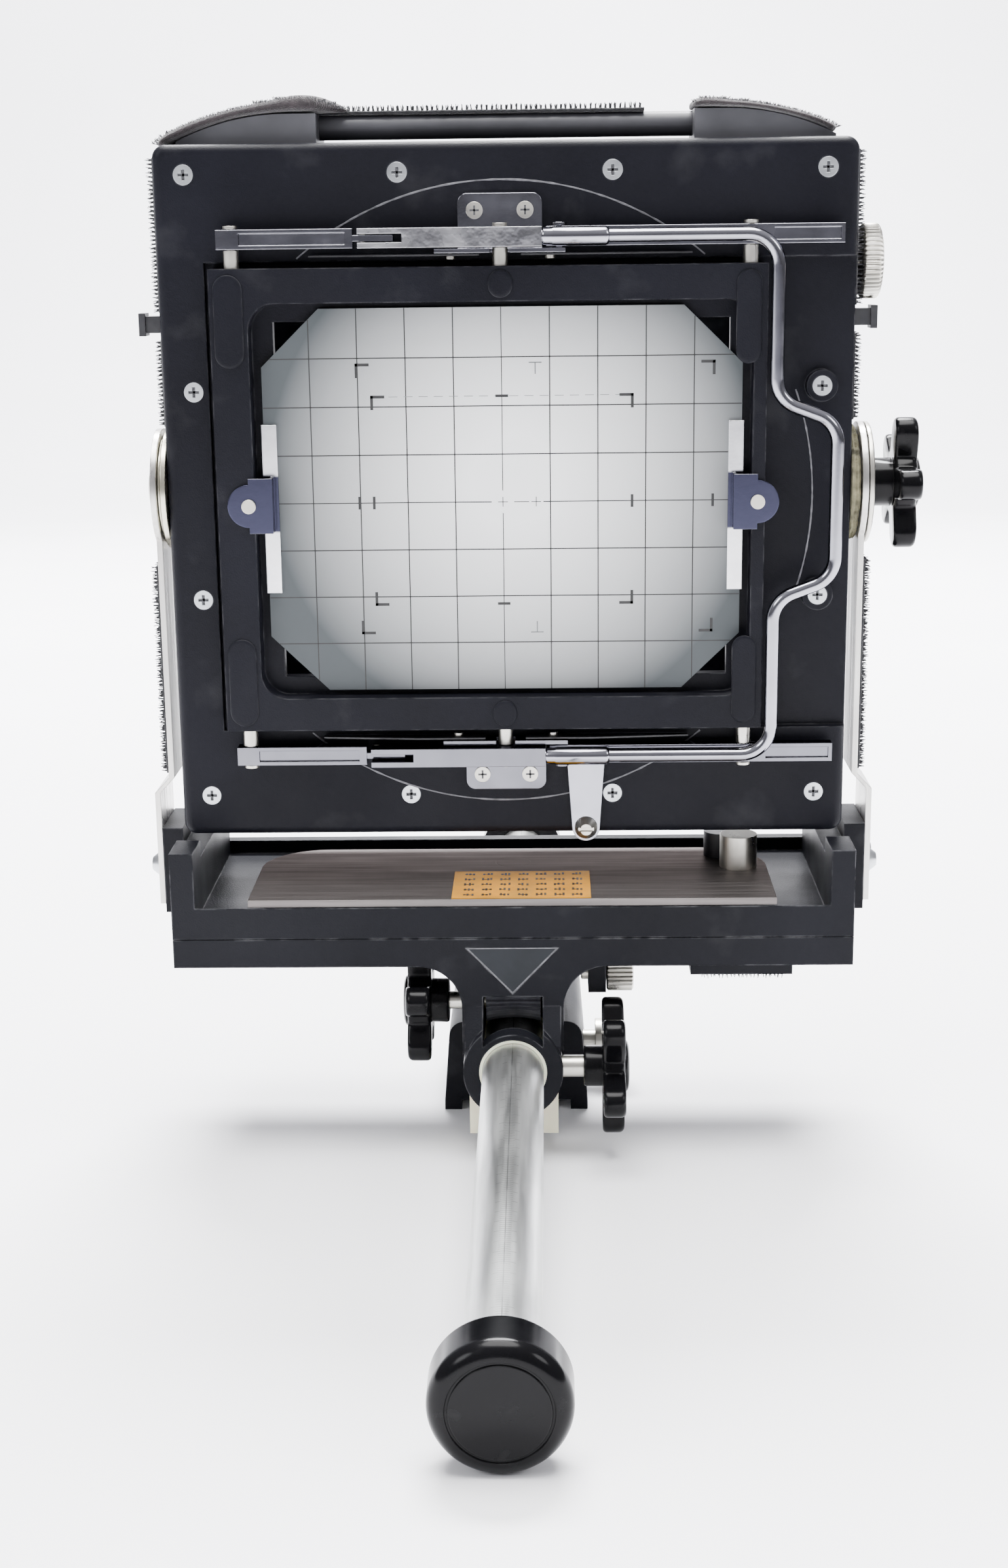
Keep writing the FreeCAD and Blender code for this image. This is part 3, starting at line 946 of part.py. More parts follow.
bracket_screws = []
leaf_screws = []
leaves = []
for end in ENDS:
    turn = ENDS[end]
    for way in (-1, 1):
        name = f"bracket_screw_{end}_{way + 1}"
        at = (f"centre_x + {way} * bracket_screw_x", "face_y - bracket_thick",
              f"centre_z + {turn} * bracket_screw_z")
        bracket_screws.append(join(name,
                                   rod(name + "_head", "-y", at, "bracket_screw_high",
                                       "bracket_screw_radius"),
                                   rod(name + "_shank", "y", at, "bracket_screw_length + bracket_thick",
                                       "screw_shank")))
        name = f"leaf_{end}_{way + 1}"
        low, high = mirror_z(end, "leaf_low", "leaf_high")
        ends_x = [f"centre_x + {way} * {x}" for x in ("leaf_in", "leaf_middle", "leaf_out")]
        leaf = extruded(name, "XY_Plane",
                        [(ends_x[0], "leaf_near"), (ends_x[1], "leaf_near"), (ends_x[2], "leaf_tip_near"),
                         (ends_x[2], "leaf_far"), (ends_x[0], "leaf_far")], "leaf_high - leaf_low", low)
        seat = rod(name + "_hole", "z", (f"centre_x + {way} * leaf_screw_x", "leaf_screw_y", low),
                   "leaf_high - leaf_low", "leaf_shank_radius")
        leaves.append(cut(name + "_cut", leaf, seat))
        name = f"leaf_screw_{end}_{way + 1}"
        up = "z" if turn > 0 else "-z"
        base = (f"centre_x + {way} * leaf_screw_x", "leaf_screw_y", f"centre_z + {turn} * leaf_screw_low")
        leaf_screws.append(join(name,
                                rod(name + "_head", up, base, "leaf_low - leaf_screw_low",
                                    "leaf_screw_radius"),
                                rod(name + "_shank", up, base, "bracket_flange_high - leaf_screw_low",
                                    "leaf_shank_radius")))
node(group("bracket_screws_group", bracket_screws), "bracket_screws")
node(group("leaves_group", leaves), "leaf_springs")
node(group("leaf_screws_group", leaf_screws), "leaf_screws")

# ---- lock lever below the back ----
lever = extruded("lock_lever_body", "XZ_Plane",
                 [("lever_x - lock_lever_narrow", "centre_z + lock_lever_pivot"),
                  ("lever_x + lock_lever_narrow", "centre_z + lock_lever_pivot"),
                  ("lever_x + lock_lever_wide", "centre_z + lock_lever_tip"),
                  ("lever_x - lock_lever_wide", "centre_z + lock_lever_tip")],
                 "lock_lever_thick", "face_y - plate_gap - lock_lever_thick")
foot = rod("lock_lever_foot", "y", ("lever_x", "face_y - plate_gap - lock_lever_thick",
                                    "centre_z + lock_lever_pivot"), "lock_lever_thick", "lock_lever_narrow")
hole = rod("lock_lever_hole", "y", ("lever_x", "face_y - plate_gap - lock_lever_thick",
                                    "centre_z + lock_lever_pivot"), "lock_lever_thick",
           "screw_shank + running_gap")
node(cut("lock_lever_cut", join("lock_lever_join", lever, foot), hole), "lock_lever")
pivot_at = ("lever_x", "face_y - 2 * plate_gap - lock_lever_thick", "centre_z + lock_lever_pivot")
dome = cone("lever_screw_dome", "-y", pivot_at, "lock_lever_screw_high", "lock_lever_screw",
            "lock_lever_screw / 2")
lever_slot = box("lever_screw_slot", ("lever_x - lock_lever_screw", "lever_x + lock_lever_screw"),
                 (f"{pivot_at[1]} - lock_lever_screw_high",
                  f"{pivot_at[1]} - lock_lever_screw_high + lock_slot_depth"),
                 ("centre_z + lock_lever_pivot - lock_slot_half",
                  "centre_z + lock_lever_pivot + lock_slot_half"))
shank = rod("lever_screw_shank", "y", pivot_at,
            "lever_screw_length + 2 * plate_gap + lock_lever_thick", "screw_shank")
node(join("lever_screw_join", cut("lever_screw_slotted", dome, lever_slot), shank), "lever_screw")

# ---- check every object, then write each sub-part ----
doc.recompute()
failed = [thing.Name for thing in doc.Objects if {"Invalid", "Error"} & set(thing.State)]
for thing in nodes:
    if thing.Shape.isNull() or not thing.Shape.isValid() or not thing.Shape.Solids:
        failed.append(thing.Label)
if failed:
    raise SystemExit("failed objects: " + ", ".join(failed))
os.makedirs("parts", exist_ok=True)
for thing in nodes:
    thing.Shape.exportStep(f"parts/{thing.Label}.step")
    print(thing.Label, len(thing.Shape.Solids), round(thing.Shape.Volume, 1))
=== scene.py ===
import json
import math
import random

import bmesh
import bpy
from mathutils import Matrix, Vector


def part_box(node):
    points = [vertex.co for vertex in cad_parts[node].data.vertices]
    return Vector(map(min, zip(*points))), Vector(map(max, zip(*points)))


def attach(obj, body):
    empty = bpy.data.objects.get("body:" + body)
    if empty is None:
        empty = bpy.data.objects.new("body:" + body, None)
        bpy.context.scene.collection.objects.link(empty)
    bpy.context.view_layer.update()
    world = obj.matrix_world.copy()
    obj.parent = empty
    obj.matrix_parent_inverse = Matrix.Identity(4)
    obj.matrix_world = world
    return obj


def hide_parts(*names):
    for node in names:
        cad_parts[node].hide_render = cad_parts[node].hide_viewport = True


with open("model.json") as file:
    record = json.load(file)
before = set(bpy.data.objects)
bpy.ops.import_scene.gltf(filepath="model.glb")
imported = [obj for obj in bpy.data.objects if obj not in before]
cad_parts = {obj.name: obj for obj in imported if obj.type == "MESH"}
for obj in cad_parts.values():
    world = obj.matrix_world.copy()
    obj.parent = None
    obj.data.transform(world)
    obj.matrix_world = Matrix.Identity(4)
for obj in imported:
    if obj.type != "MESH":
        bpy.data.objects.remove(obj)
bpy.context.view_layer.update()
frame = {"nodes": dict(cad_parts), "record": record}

MM = 0.001
CENTRE_X, CENTRE_Z = -1.4, 183.0
TILT_Y, TILT_Z = -28.0, 185.3
FACE_Y = -43.0
draw = random.Random(11)


# ---- materials ----
class Look:
    """One node material around a Principled shader, in the object's own space."""

    def __init__(self, name, colour, rough, metal=0.0, **sockets):
        self.mat = bpy.data.materials.new(name)
        self.mat.use_nodes = True
        self.tree = self.mat.node_tree
        self.shader = self.tree.nodes["Principled BSDF"]
        self.shader.inputs["Base Color"].default_value = (*colour, 1)
        self.shader.inputs["Roughness"].default_value = rough
        self.shader.inputs["Metallic"].default_value = metal
        for socket, value in sockets.items():
            self.shader.inputs[socket.replace("_", " ")].default_value = value
        self.place = self.tree.nodes.new("ShaderNodeTexCoord").outputs["Object"]
        self.colour = (*colour, 1)
        self.normal = None

    def link(self, value, socket):
        if isinstance(value, bpy.types.NodeSocket):
            self.tree.links.new(value, socket)
        else:
            socket.default_value = value

    def maths(self, operation, *values):
        node = self.tree.nodes.new("ShaderNodeMath")
        node.operation = operation
        for value, socket in zip(values, node.inputs):
            self.link(value, socket)
        return node.outputs[0]

    def vector(self, operation, *values, out="Vector"):
        node = self.tree.nodes.new("ShaderNodeVectorMath")
        node.operation = operation
        for value, socket in zip(values, node.inputs):
            self.link(value, socket)
        return node.outputs[out]

    def axis(self, which):
        node = self.tree.nodes.new("ShaderNodeSeparateXYZ")
        self.tree.links.new(self.place, node.inputs[0])
        return node.outputs[which]

    def noise(self, scale, detail=2.0, stretch=(1, 1, 1)):
        node = self.tree.nodes.new("ShaderNodeTexNoise")
        node.inputs["Scale"].default_value = scale
        node.inputs["Detail"].default_value = detail
        place = self.place if stretch == (1, 1, 1) else self.vector("MULTIPLY", self.place, stretch)
        self.tree.links.new(place, node.inputs["Vector"])
        return node.outputs["Fac"]

    def span(self, value, low, high, to_low=0.0, to_high=1.0):
        node = self.tree.nodes.new("ShaderNodeMapRange")
        for socket, number in zip(node.inputs[:5], (value, low, high, to_low, to_high)):
            self.link(number, socket)
        return node.outputs[0]

    def mix(self, share, first, second):
        node = self.tree.nodes.new("ShaderNodeMix")
        node.data_type = "RGBA"
        self.link(share, node.inputs["Factor"])
        for value, socket in ((first, node.inputs[6]), (second, node.inputs[7])):
            self.link(value, socket)
        return node.outputs[2]

    def tint(self, share, colour):
        """Blend the base colour towards another where share is 1."""
        self.colour = self.mix(share, self.colour, (*colour, 1))
        self.link(self.colour, self.shader.inputs["Base Color"])

    def mottle(self, scale, dark, light, stretch=(1, 1, 1), detail=3.0):
        """Vary the base colour between dark and light times itself."""
        patches = self.span(self.noise(scale, detail, stretch), 0.3, 0.7)
        low = tuple(c * dark for c in self.colour[:3])
        high = tuple(min(1.0, c * light) for c in self.colour[:3])
        self.colour = self.mix(patches, (*low, 1), (*high, 1))
        self.link(self.colour, self.shader.inputs["Base Color"])

    def gloss(self, scale, low, high, stretch=(1, 1, 1)):
        """Roughness that varies from place to place."""
        rough = self.span(self.noise(scale, 3.0, stretch), 0.3, 0.7, low, high)
        self.link(rough, self.shader.inputs["Roughness"])

    def soft_edges(self, radius):
        """Edges that catch the light as if they were slightly rounded."""
        node = self.tree.nodes.new("ShaderNodeBevel")
        node.samples = 4
        node.inputs["Radius"].default_value = radius
        self.normal = node.outputs[0]
        self.link(self.normal, self.shader.inputs["Normal"])

    def worn_edges(self, radius, colour, amount, scale=180.0):
        """Paint rubbed away along edges, in patches."""
        node = self.tree.nodes.new("ShaderNodeBevel")
        node.samples = 4
        node.inputs["Radius"].default_value = radius
        flat = self.tree.nodes.new("ShaderNodeNewGeometry").outputs["Normal"]
        turn = self.vector("DOT_PRODUCT", node.outputs[0], flat, out="Value")
        edge = self.span(turn, 0.97, 0.80)
        patch = self.span(self.noise(scale, 4.0), 0.45, 0.62)
        self.tint(self.maths("MULTIPLY", self.maths("MULTIPLY", edge, patch), amount), colour)

    def grain(self, scale, depth, strength=0.6, stretch=(1, 1, 1)):
        """Fine relief on the surface; depth in metres."""
        node = self.tree.nodes.new("ShaderNodeBump")
        node.inputs["Strength"].default_value = strength
        node.inputs["Distance"].default_value = depth
        self.link(self.noise(scale, 2.0, stretch), node.inputs["Height"])
        if self.normal is not None:
            self.link(self.normal, node.inputs["Normal"])
        self.normal = node.outputs[0]
        self.link(self.normal, self.shader.inputs["Normal"])


def painted(name, colour, rough, wear, grain_scale=2600.0, grain_depth=0.00012):
    look = Look(name, colour, rough, Specular_IOR_Level=0.09)
    look.mottle(22.0, 0.8, 1.25)
    dust = look.span(look.noise(60.0, 6.0), 0.60, 0.78)
    look.tint(look.maths("MULTIPLY", dust, 0.05), (0.22, 0.22, 0.23))
    look.worn_edges(0.0007, (0.16, 0.16, 0.17), wear)
    look.gloss(35.0, rough - 0.06, rough + 0.10)
    look.soft_edges(0.0006)
    look.grain(grain_scale, grain_depth, 0.55)
    return look.mat


def polished(name, colour, low, high, bump=0.00002, edge=0.0003, **sockets):
    look = Look(name, colour, low, 1.0, **sockets)
    look.mottle(90.0, 0.88, 1.04)
    look.gloss(140.0, low, high)
    look.soft_edges(edge)
    look.grain(350.0, bump, 0.4)
    return look.mat


def brushed(name, colour, rough, stretch, edge=0.0004, **sockets):
    look = Look(name, colour, rough, 1.0, **sockets)
    look.mottle(900.0, 0.82, 1.08, stretch)
    look.tint(look.maths("MULTIPLY", look.span(look.noise(45.0, 5.0), 0.55, 0.75), 0.25),
              tuple(0.7 * c for c in colour))
    look.gloss(700.0, rough - 0.06, rough + 0.10, stretch)
    look.soft_edges(edge)
    look.grain(1500.0, 0.00002, 0.5, stretch)
    return look.mat


def rail_look():
    look = Look("rail_metal", (0.70, 0.71, 0.70), 0.38, 1.0)
    look.mottle(420.0, 0.80, 1.08, (1.0, 0.05, 1.0))
    stain = look.span(look.noise(55.0, 5.0, (1.0, 0.4, 1.0)), 0.50, 0.68)
    look.tint(look.maths("MULTIPLY", stain, 0.45), (0.30, 0.32, 0.31))
    x, y, z = look.axis(0), look.axis(1), look.axis(2)
    on_top = look.maths("GREATER_THAN", z, 0.036)
    side = look.maths("ABSOLUTE", x)
    line = look.maths("LESS_THAN", side, 0.00012)
    step = look.maths("FRACT", look.maths("MULTIPLY", y, 1000.0))
    tick = look.maths("MULTIPLY", look.maths("LESS_THAN", step, 0.16), look.maths("LESS_THAN", side, 0.0014))
    long_step = look.maths("FRACT", look.maths("MULTIPLY", y, 200.0))
    long_tick = look.maths("MULTIPLY", look.maths("LESS_THAN", long_step, 0.035),
                           look.maths("LESS_THAN", side, 0.0026))
    marks = look.maths("MAXIMUM", look.maths("MAXIMUM", line, tick), long_tick)
    rubbed = look.span(look.noise(120.0, 4.0), 0.35, 0.6, 0.15, 0.65)
    look.tint(look.maths("MULTIPLY", look.maths("MULTIPLY", marks, on_top), rubbed), (0.06, 0.06, 0.06))
    look.gloss(300.0, 0.30, 0.48, (1.0, 0.08, 1.0))
    look.grain(900.0, 0.00002, 0.5, (1.0, 0.05, 1.0))
    return look.mat


def clip_look():
    """Springs of bright steel, with a dark blue-grey reflection painted on the tab half way up."""
    look = Look("clip_steel", (0.86, 0.86, 0.88), 0.22, 1.0)
    height = look.maths("ABSOLUTE", look.maths("SUBTRACT", look.axis(2), CENTRE_Z * MM))
    # painted reflection: a band at the tab's height is tinted dark blue-grey, as if it mirrored the dark room
    painted_reflection_tab = look.span(height, 0.0078, 0.0072)
    look.tint(painted_reflection_tab, (0.045, 0.046, 0.075))
    look.gloss(160.0, 0.12, 0.26)
    look.soft_edges(0.0004)
    look.grain(600.0, 0.00002, 0.4)
    return look.mat


def glass_with_painted_falloff():
    look = Look("ground_glass", (0.86, 0.87, 0.87), 0.42, Specular_IOR_Level=0.2)
    # painted shade: a light falloff painted into the glass's colour, bright at the centre and darker towards
    # the corners
    x = look.maths("DIVIDE", look.maths("SUBTRACT", look.axis(0), (CENTRE_X + 3) * MM), 0.0575)
    z = look.maths("DIVIDE", look.maths("SUBTRACT", look.axis(2), (CENTRE_Z + 6) * MM), 0.0595)
    far = look.maths("SQRT", look.maths("ADD", look.maths("MULTIPLY", x, x), look.maths("MULTIPLY", z, z)))
    look.tint(look.span(far, 0.20, 1.14), (0.060, 0.068, 0.072))
    look.grain(5200.0, 0.00003, 0.35)
    return look.mat


def fabric_look(name, colour, sheen):
    look = Look(name, colour, 0.92, Sheen_Weight=sheen, Sheen_Roughness=0.5)
    look.mottle(700.0, 0.55, 1.7, detail=5.0)
    look.grain(2400.0, 0.0004, 0.8)
    return look.mat


def paper_look():
    look = Look("paper", (0.50, 0.215, 0.004), 0.66, Specular_IOR_Level=0.2)
    look.mottle(120.0, 0.78, 1.15, detail=6.0)
    look.tint(look.maths("MULTIPLY", look.span(look.noise(70.0, 6.0), 0.52, 0.66), 0.55), (0.30, 0.17, 0.03))
    look.grain(1800.0, 0.00004, 0.4)
    return look.mat


def plain(name, colour, rough, scale, dark, light, depth=0.00005, edge=0.0003, **sockets):
    look = Look(name, colour, rough, **sockets)
    look.mottle(scale, dark, light)
    look.gloss(scale * 1.7, max(0.03, rough - 0.06), rough + 0.08)
    if edge:
        look.soft_edges(edge)
    look.grain(scale * 9, depth, 0.5)
    return look.mat


def glossy_black(name, rough):
    look = Look(name, (0.0025, 0.0025, 0.003), rough, Specular_IOR_Level=0.11)
    look.mottle(60.0, 0.8, 1.3)
    look.tint(look.maths("MULTIPLY", look.span(look.noise(90.0, 6.0), 0.62, 0.8), 0.05), (0.20, 0.20, 0.20))
    look.gloss(80.0, rough, rough + 0.12)
    look.soft_edges(0.0005)
    look.grain(260.0, 0.00003, 0.3)
    return look.mat


LOOKS = {
    "black_frame": painted("black_frame", (0.0060, 0.0062, 0.0090), 0.40, 0.35),
    "black_cast": painted("black_cast", (0.0062, 0.0065, 0.0088), 0.42, 0.7, 2000.0, 0.00014),
    "black_gloss": glossy_black("black_gloss", 0.12),
    "black_oxide": plain("black_oxide", (0.012, 0.012, 0.014), 0.36, 200.0, 0.7, 1.5),
    "rail_metal": rail_look(),
    "sheet_metal": brushed("sheet_metal", (0.60, 0.585, 0.56), 0.30, (1.0, 1.0, 0.04)),
    "chrome": polished("chrome", (0.31, 0.31, 0.345), 0.07, 0.17, Specular_Tint=(0.6, 0.6, 0.64, 1)),
    "nickel": polished("nickel", (0.62, 0.60, 0.54), 0.24, 0.40, 0.00004),
    "zinc": polished("zinc", (0.52, 0.54, 0.56), 0.26, 0.40, 0.00003, 0.0002),
    "glass": glass_with_painted_falloff(),
    "nylon": plain("nylon", (0.78, 0.74, 0.55), 0.42, 90.0, 0.85, 1.12, Subsurface_Weight=0.2,
                   Subsurface_Scale=0.004),
    "cork": plain("cork", (0.150, 0.140, 0.085), 0.88, 260.0, 0.35, 1.9, 0.0006, 0.0),
    "loop_fabric": fabric_look("loop_fabric", (0.012, 0.012, 0.014), 0.15),
    "paper": paper_look(),
    "badge": plain("badge", (0.0115, 0.0135, 0.0165), 0.42, 150.0, 0.85, 1.2, Specular_IOR_Level=0.2),
}
PLATE_LOOK = brushed("swing_plate_metal", (0.18, 0.165, 0.16), 0.50, (0.04, 1.0, 1.0),
                     Specular_Tint=(0.30, 0.29, 0.285, 1))
CLIP_LOOK = clip_look()
RING_METAL = polished("ring_metal", (0.74, 0.70, 0.56), 0.20, 0.34, 0.00003)
CAST_CHROME = polished("cast_chrome", (0.46, 0.46, 0.48), 0.16, 0.34, 0.00035)
HANDLE_LOOK = plain("handle_black", (0.072, 0.072, 0.080), 0.42, 60.0, 0.8, 1.2, Specular_IOR_Level=0.3)
ROLLER_STEEL = plain("roller_steel", (0.060, 0.062, 0.072), 0.34, 200.0, 0.7, 1.5)
# painted reflection: a darker copy of the chrome for the lower linkage, standing for the darker reflections
# there; the metal is the same as above
DARK_REFLECTION_CHROME = polished("chrome_painted_dark_reflection", (0.15, 0.15, 0.17), 0.09, 0.20, Specular_Tint=(0.4, 0.4, 0.43, 1))
INK = plain("ink", (0.012, 0.012, 0.012), 0.5, 400.0, 0.8, 1.2, edge=0.0)
FAINT_INK = plain("faint_ink", (0.13, 0.14, 0.14), 0.5, 400.0, 0.8, 1.2, edge=0.0)
# painted shade: thin dark crosses laid over the screw heads stand for the shade in their cross recesses
CROSS_RECESS_SHADE = plain("cross_recess_painted_shade", (0.07, 0.07, 0.075), 0.5, 400.0, 0.8, 1.2, edge=0.0)
LIGHT_LINE = plain("light_line", (0.10, 0.10, 0.11), 0.42, 500.0, 0.5, 1.4, edge=0.0)
PEN = plain("pen", (0.012, 0.006, 0.004), 0.6, 400.0, 0.7, 1.4, edge=0.0)
HUMP_FABRIC = fabric_look("hump_fabric", (0.020, 0.015, 0.017), 0.35)
BRISTLE = fabric_look("bristle", (0.022, 0.022, 0.025), 0.1)

for part in frame["record"]["subparts"]:
    node = frame["nodes"][part["node"]]
    node.data.materials.clear()
    node.data.materials.append(LOOKS[part["material_slot"]])
for name, look in (("swing_plate", PLATE_LOOK), ("pivot_bolt", PLATE_LOOK),
                   ("handle_mount_left", HANDLE_LOOK), ("handle_mount_right", HANDLE_LOOK),
                   ("handle_bar", HANDLE_LOOK),
                   ("bail_lever_top", CAST_CHROME), ("bail_lever_bottom", DARK_REFLECTION_CHROME),
                   ("left_arm_bottom", DARK_REFLECTION_CHROME), ("right_bar_bottom", DARK_REFLECTION_CHROME),
                   ("spring_bracket_bottom", DARK_REFLECTION_CHROME),
                   ("glass_clip_left", CLIP_LOOK), ("glass_clip_right", CLIP_LOOK)):
    frame["nodes"][name].data.materials[0] = look


# ---- mesh helpers: sizes in millimetres, in the row frame ----
def add_piece(name, mesh, body, look, smooth=35.0):
    mesh.materials.append(look)
    if smooth:
        mesh.shade_smooth()
        mesh.set_sharp_from_angle(angle=math.radians(smooth))
    thing = bpy.data.objects.new(name, mesh)
    bpy.context.scene.collection.objects.link(thing)
    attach(thing, body)
    return thing


def finish_mesh(name, bm):
    bmesh.ops.recalc_face_normals(bm, faces=bm.faces)
    mesh = bpy.data.meshes.new(name)
    bm.to_mesh(mesh)
    bm.free()
    return mesh


def add_rings(bm, rings):
    """Join closed rings of points into a skin with two flat ends."""
    rows = [[bm.verts.new(Vector(point) * MM) for point in ring] for ring in rings]
    for here, there in zip(rows, rows[1:]):
        for index in range(len(here)):
            after = (index + 1) % len(here)
            bm.faces.new((here[index], here[after], there[after], there[index]))
    bm.faces.new(list(reversed(rows[0])))
    bm.faces.new(rows[-1])


def turned(centre, along, across, angle):
    """A point at a distance along X from a centre, and across X at an angle."""
    x, y, z = centre
    return (x + along, y + across * math.cos(angle), z + across * math.sin(angle))


def add_turned(bm, centre, levels, radius, steps):
    """A solid about X whose outline is radius(angle), less an inset at each level along it."""
    angles = [2 * math.pi * i / steps for i in range(steps)]
    add_rings(bm, [[turned(centre, along, radius(a) - inset, a) for a in angles]
                   for along, inset in levels])


def rounded_levels(low, high, round_low, round_high, steps=4):
    """Levels of a solid between low and high with quarter-round rims."""
    levels = [(low + round_low * (1 - math.cos(math.pi / 2 * i / steps)),
               round_low * (1 - math.sin(math.pi / 2 * i / steps))) for i in range(steps + 1)]
    levels += [(high - round_high * (1 - math.sin(math.pi / 2 * i / steps)),
                round_high * (1 - math.cos(math.pi / 2 * i / steps))) for i in range(steps + 1)]
    return levels


def add_bar(bm, low, high):
    """A block between two corners."""
    made = bmesh.ops.create_cube(bm, size=1.0)
    for vert in made["verts"]:
        vert.co = Vector([(low[i] + high[i]) / 2 + vert.co[i] * (high[i] - low[i]) for i in range(3)]) * MM


def capsule(x, z_low, z_high, half, steps=16):
    """The outline of an upright slot shape, as (x, z) points."""
    points = []
    for i in range(steps + 1):
        turn = math.pi * i / steps
        points.append((x + half * math.cos(turn), z_high - half + half * math.sin(turn)))
    for i in range(steps + 1):
        turn = math.pi + math.pi * i / steps
        points.append((x + half * math.cos(turn), z_low + half + half * math.sin(turn)))
    return points


# ---- star knobs ----
LOBES = 5
LOBE_HALF = 4.1
LOBE_CORE = 9.3
FILLET = 1.6
STUD_RADIUS = 1.6
FOCUS_AXIS = (0, -50.5, 43.5)
RAIL_LOCK_AXIS = (0, -66.7, 30.0)
SHIFT_LOCK_AXIS = (0, -46.0, 50.0)
SIDE_KNOB_AXIS = (0, -30.0, 244.3)
TILT_AXIS = (0, TILT_Y, TILT_Z)


def star(tip, phase):
    """Outline of a five-lobed knob: round-ended lobes with fillets between them."""
    reach = tip - LOBE_HALF

    def radius(angle):
        period = 2 * math.pi / LOBES
        turn = abs((angle - phase + period / 2) % period - period / 2)
        sine = reach * math.sin(turn)
        lobe = 0.0
        if abs(sine) <= LOBE_HALF:
            lobe = reach * math.cos(turn) + math.sqrt(LOBE_HALF ** 2 - sine ** 2)
        straight = LOBE_HALF / max(math.sin(turn), 1e-6)
        if lobe * math.cos(turn) < reach:
            lobe = straight
        gap = max(FILLET - abs(lobe - LOBE_CORE), 0.0) / FILLET
        return max(lobe, LOBE_CORE) + gap ** 3 * FILLET / 6

    return radius


def make_knob(name, body, turn, centre, stem, stem_radius, low, high, tip, phase):
    """A moulded star knob; turn is 1 or -1, the way it points along X from its centre."""
    bm = bmesh.new()
    levels = [(turn * along, inset) for along, inset in rounded_levels(low, high, 1.1, 1.5)]
    add_turned(bm, centre, levels, star(tip, phase), 360)
    hub = [(turn * along, inset) for along, inset in rounded_levels(stem, low + 1.0, 0.7, 0.0)]
    add_turned(bm, centre, hub, lambda a: stem_radius, 64)
    dome = [(turn * (high - 0.8), 0.0), (turn * (high + 0.5), 0.0), (turn * (high + 0.9), 0.4),
            (turn * (high + 1.2), 1.4), (turn * (high + 1.35), 3.0), (turn * (high + 1.4), 5.6)]
    add_turned(bm, centre, dome, lambda a: 7.0, 64)
    knob = add_piece(name + "_moulded", finish_mesh(name, bm), body, LOOKS["black_gloss"])
    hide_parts(name)
    bm = bmesh.new()
    stud = [(turn * along, inset) for along, inset in rounded_levels(high + 1.1, high + 1.38, 0.08, 0.2)]
    add_turned(bm, centre, stud, lambda a: STUD_RADIUS, 48)
    add_piece(name + "_stud_end", finish_mesh(name + "_stud", bm), body, LOOKS["nickel"])


make_knob("focus_knob", "focus_drive", -1, FOCUS_AXIS, 18.0, 6.2, 23.0, 29.5, 17.4, math.pi / 2)
make_knob("rail_lock_knob", "rail_lock", 1, RAIL_LOCK_AXIS, 19.4, 5.6, 24.6, 30.6, 19.5, -math.pi / 2)
make_knob("tilt_lock_knob", "tilt_lock", 1, TILT_AXIS, 98.5, 6.6, 104.6, 110.8, 18.3, math.radians(177))


# ---- knurled and ribbed round parts ----
def fluted(radius, count, depth):
    return lambda angle: radius - depth * (0.5 - 0.5 * math.cos(angle * count)) ** 0.7


def make_round(name, node, body, look, centre, pieces):
    """Several turned shapes in one piece that stands for a CAD node."""
    bm = bmesh.new()
    for levels, radius, steps in pieces:
        add_turned(bm, centre, levels, radius, steps)
    thing = add_piece(name, finish_mesh(name, bm), body, look)
    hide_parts(node)


low, high = (Vector(corner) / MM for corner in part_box("side_knob"))
make_round("side_knob_knurled", "side_knob", "side_lock", LOOKS["nickel"], SIDE_KNOB_AXIS, [
    ([(94.0, 1.2), (94.5, 0.3), (94.9, 0.0), (98.4, 0.0), (98.9, 0.3), (99.4, 1.2)],
     fluted(9.8, 48, 0.55), 384),
    ([(99.0, 0.0), (99.6, 0.0)], lambda a: 7.6, 64),
    ([(low.x, 0.0), (94.2, 0.0)], lambda a: 2.5, 32)])
low, high = (Vector(corner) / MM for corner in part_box("shift_lock_knob"))
make_round("shift_lock_knurled", "shift_lock_knob", "shift_lock", LOOKS["nickel"],
           SHIFT_LOCK_AXIS, [
               ([(high.x - 7.5, 0.6), (high.x - 7.1, 0.0), (high.x - 0.4, 0.0), (high.x, 0.6)],
                fluted(5.2, 26, 0.5), 208),
               ([(low.x, 0.3), (low.x + 0.3, 0.0), (high.x - 7.0, 0.0)], lambda a: 2.0, 32)])
make_round("focus_roller_ribbed", "focus_roller", "focus_drive", ROLLER_STEEL,
           FOCUS_AXIS,
           [([(x, -0.018 * x * x) for x in (-7.6, -6, -4.5, -3, -1.5, 0, 1.5, 3, 4.5, 6, 7.6)],
             fluted(5.0, 26, 0.7), 260)])
make_round("tilt_hub_right_turned", "tilt_hub_right", "rear_frame", LOOKS["nickel"], TILT_AXIS, [
    ([(87.0, 0.0), (97.0, 0.0)], lambda a: 4.0, 48),
    ([(96.65, 0.4), (96.8, 0.05), (97.2, 0.0), (97.8, 0.1), (98.1, 0.5), (98.25, 1.4), (98.3, 4.0)],
     lambda a: 16.5, 120)])
make_round("tilt_hub_left_turned", "tilt_hub_left", "rear_frame", LOOKS["nickel"], TILT_AXIS, [
    ([(-87.0, 0.0), (-97.0, 0.0)], lambda a: 4.0, 48),
    ([(-96.6, 0.0), (-97.3, 0.4), (-98.1, 1.5), (-98.7, 3.2), (-99.0, 5.6)], lambda a: 8.5, 96)])

bumps = [draw.uniform(-0.7, 0.5) for _ in range(70)]


def crust(angle):
    """Ragged rim of the worn friction washer."""
    place = angle / (2 * math.pi) * len(bumps)
    index = int(place) % len(bumps)
    share = place - int(place)
    return 15.3 + bumps[index] * (1 - share) + bumps[(index + 1) % len(bumps)] * share


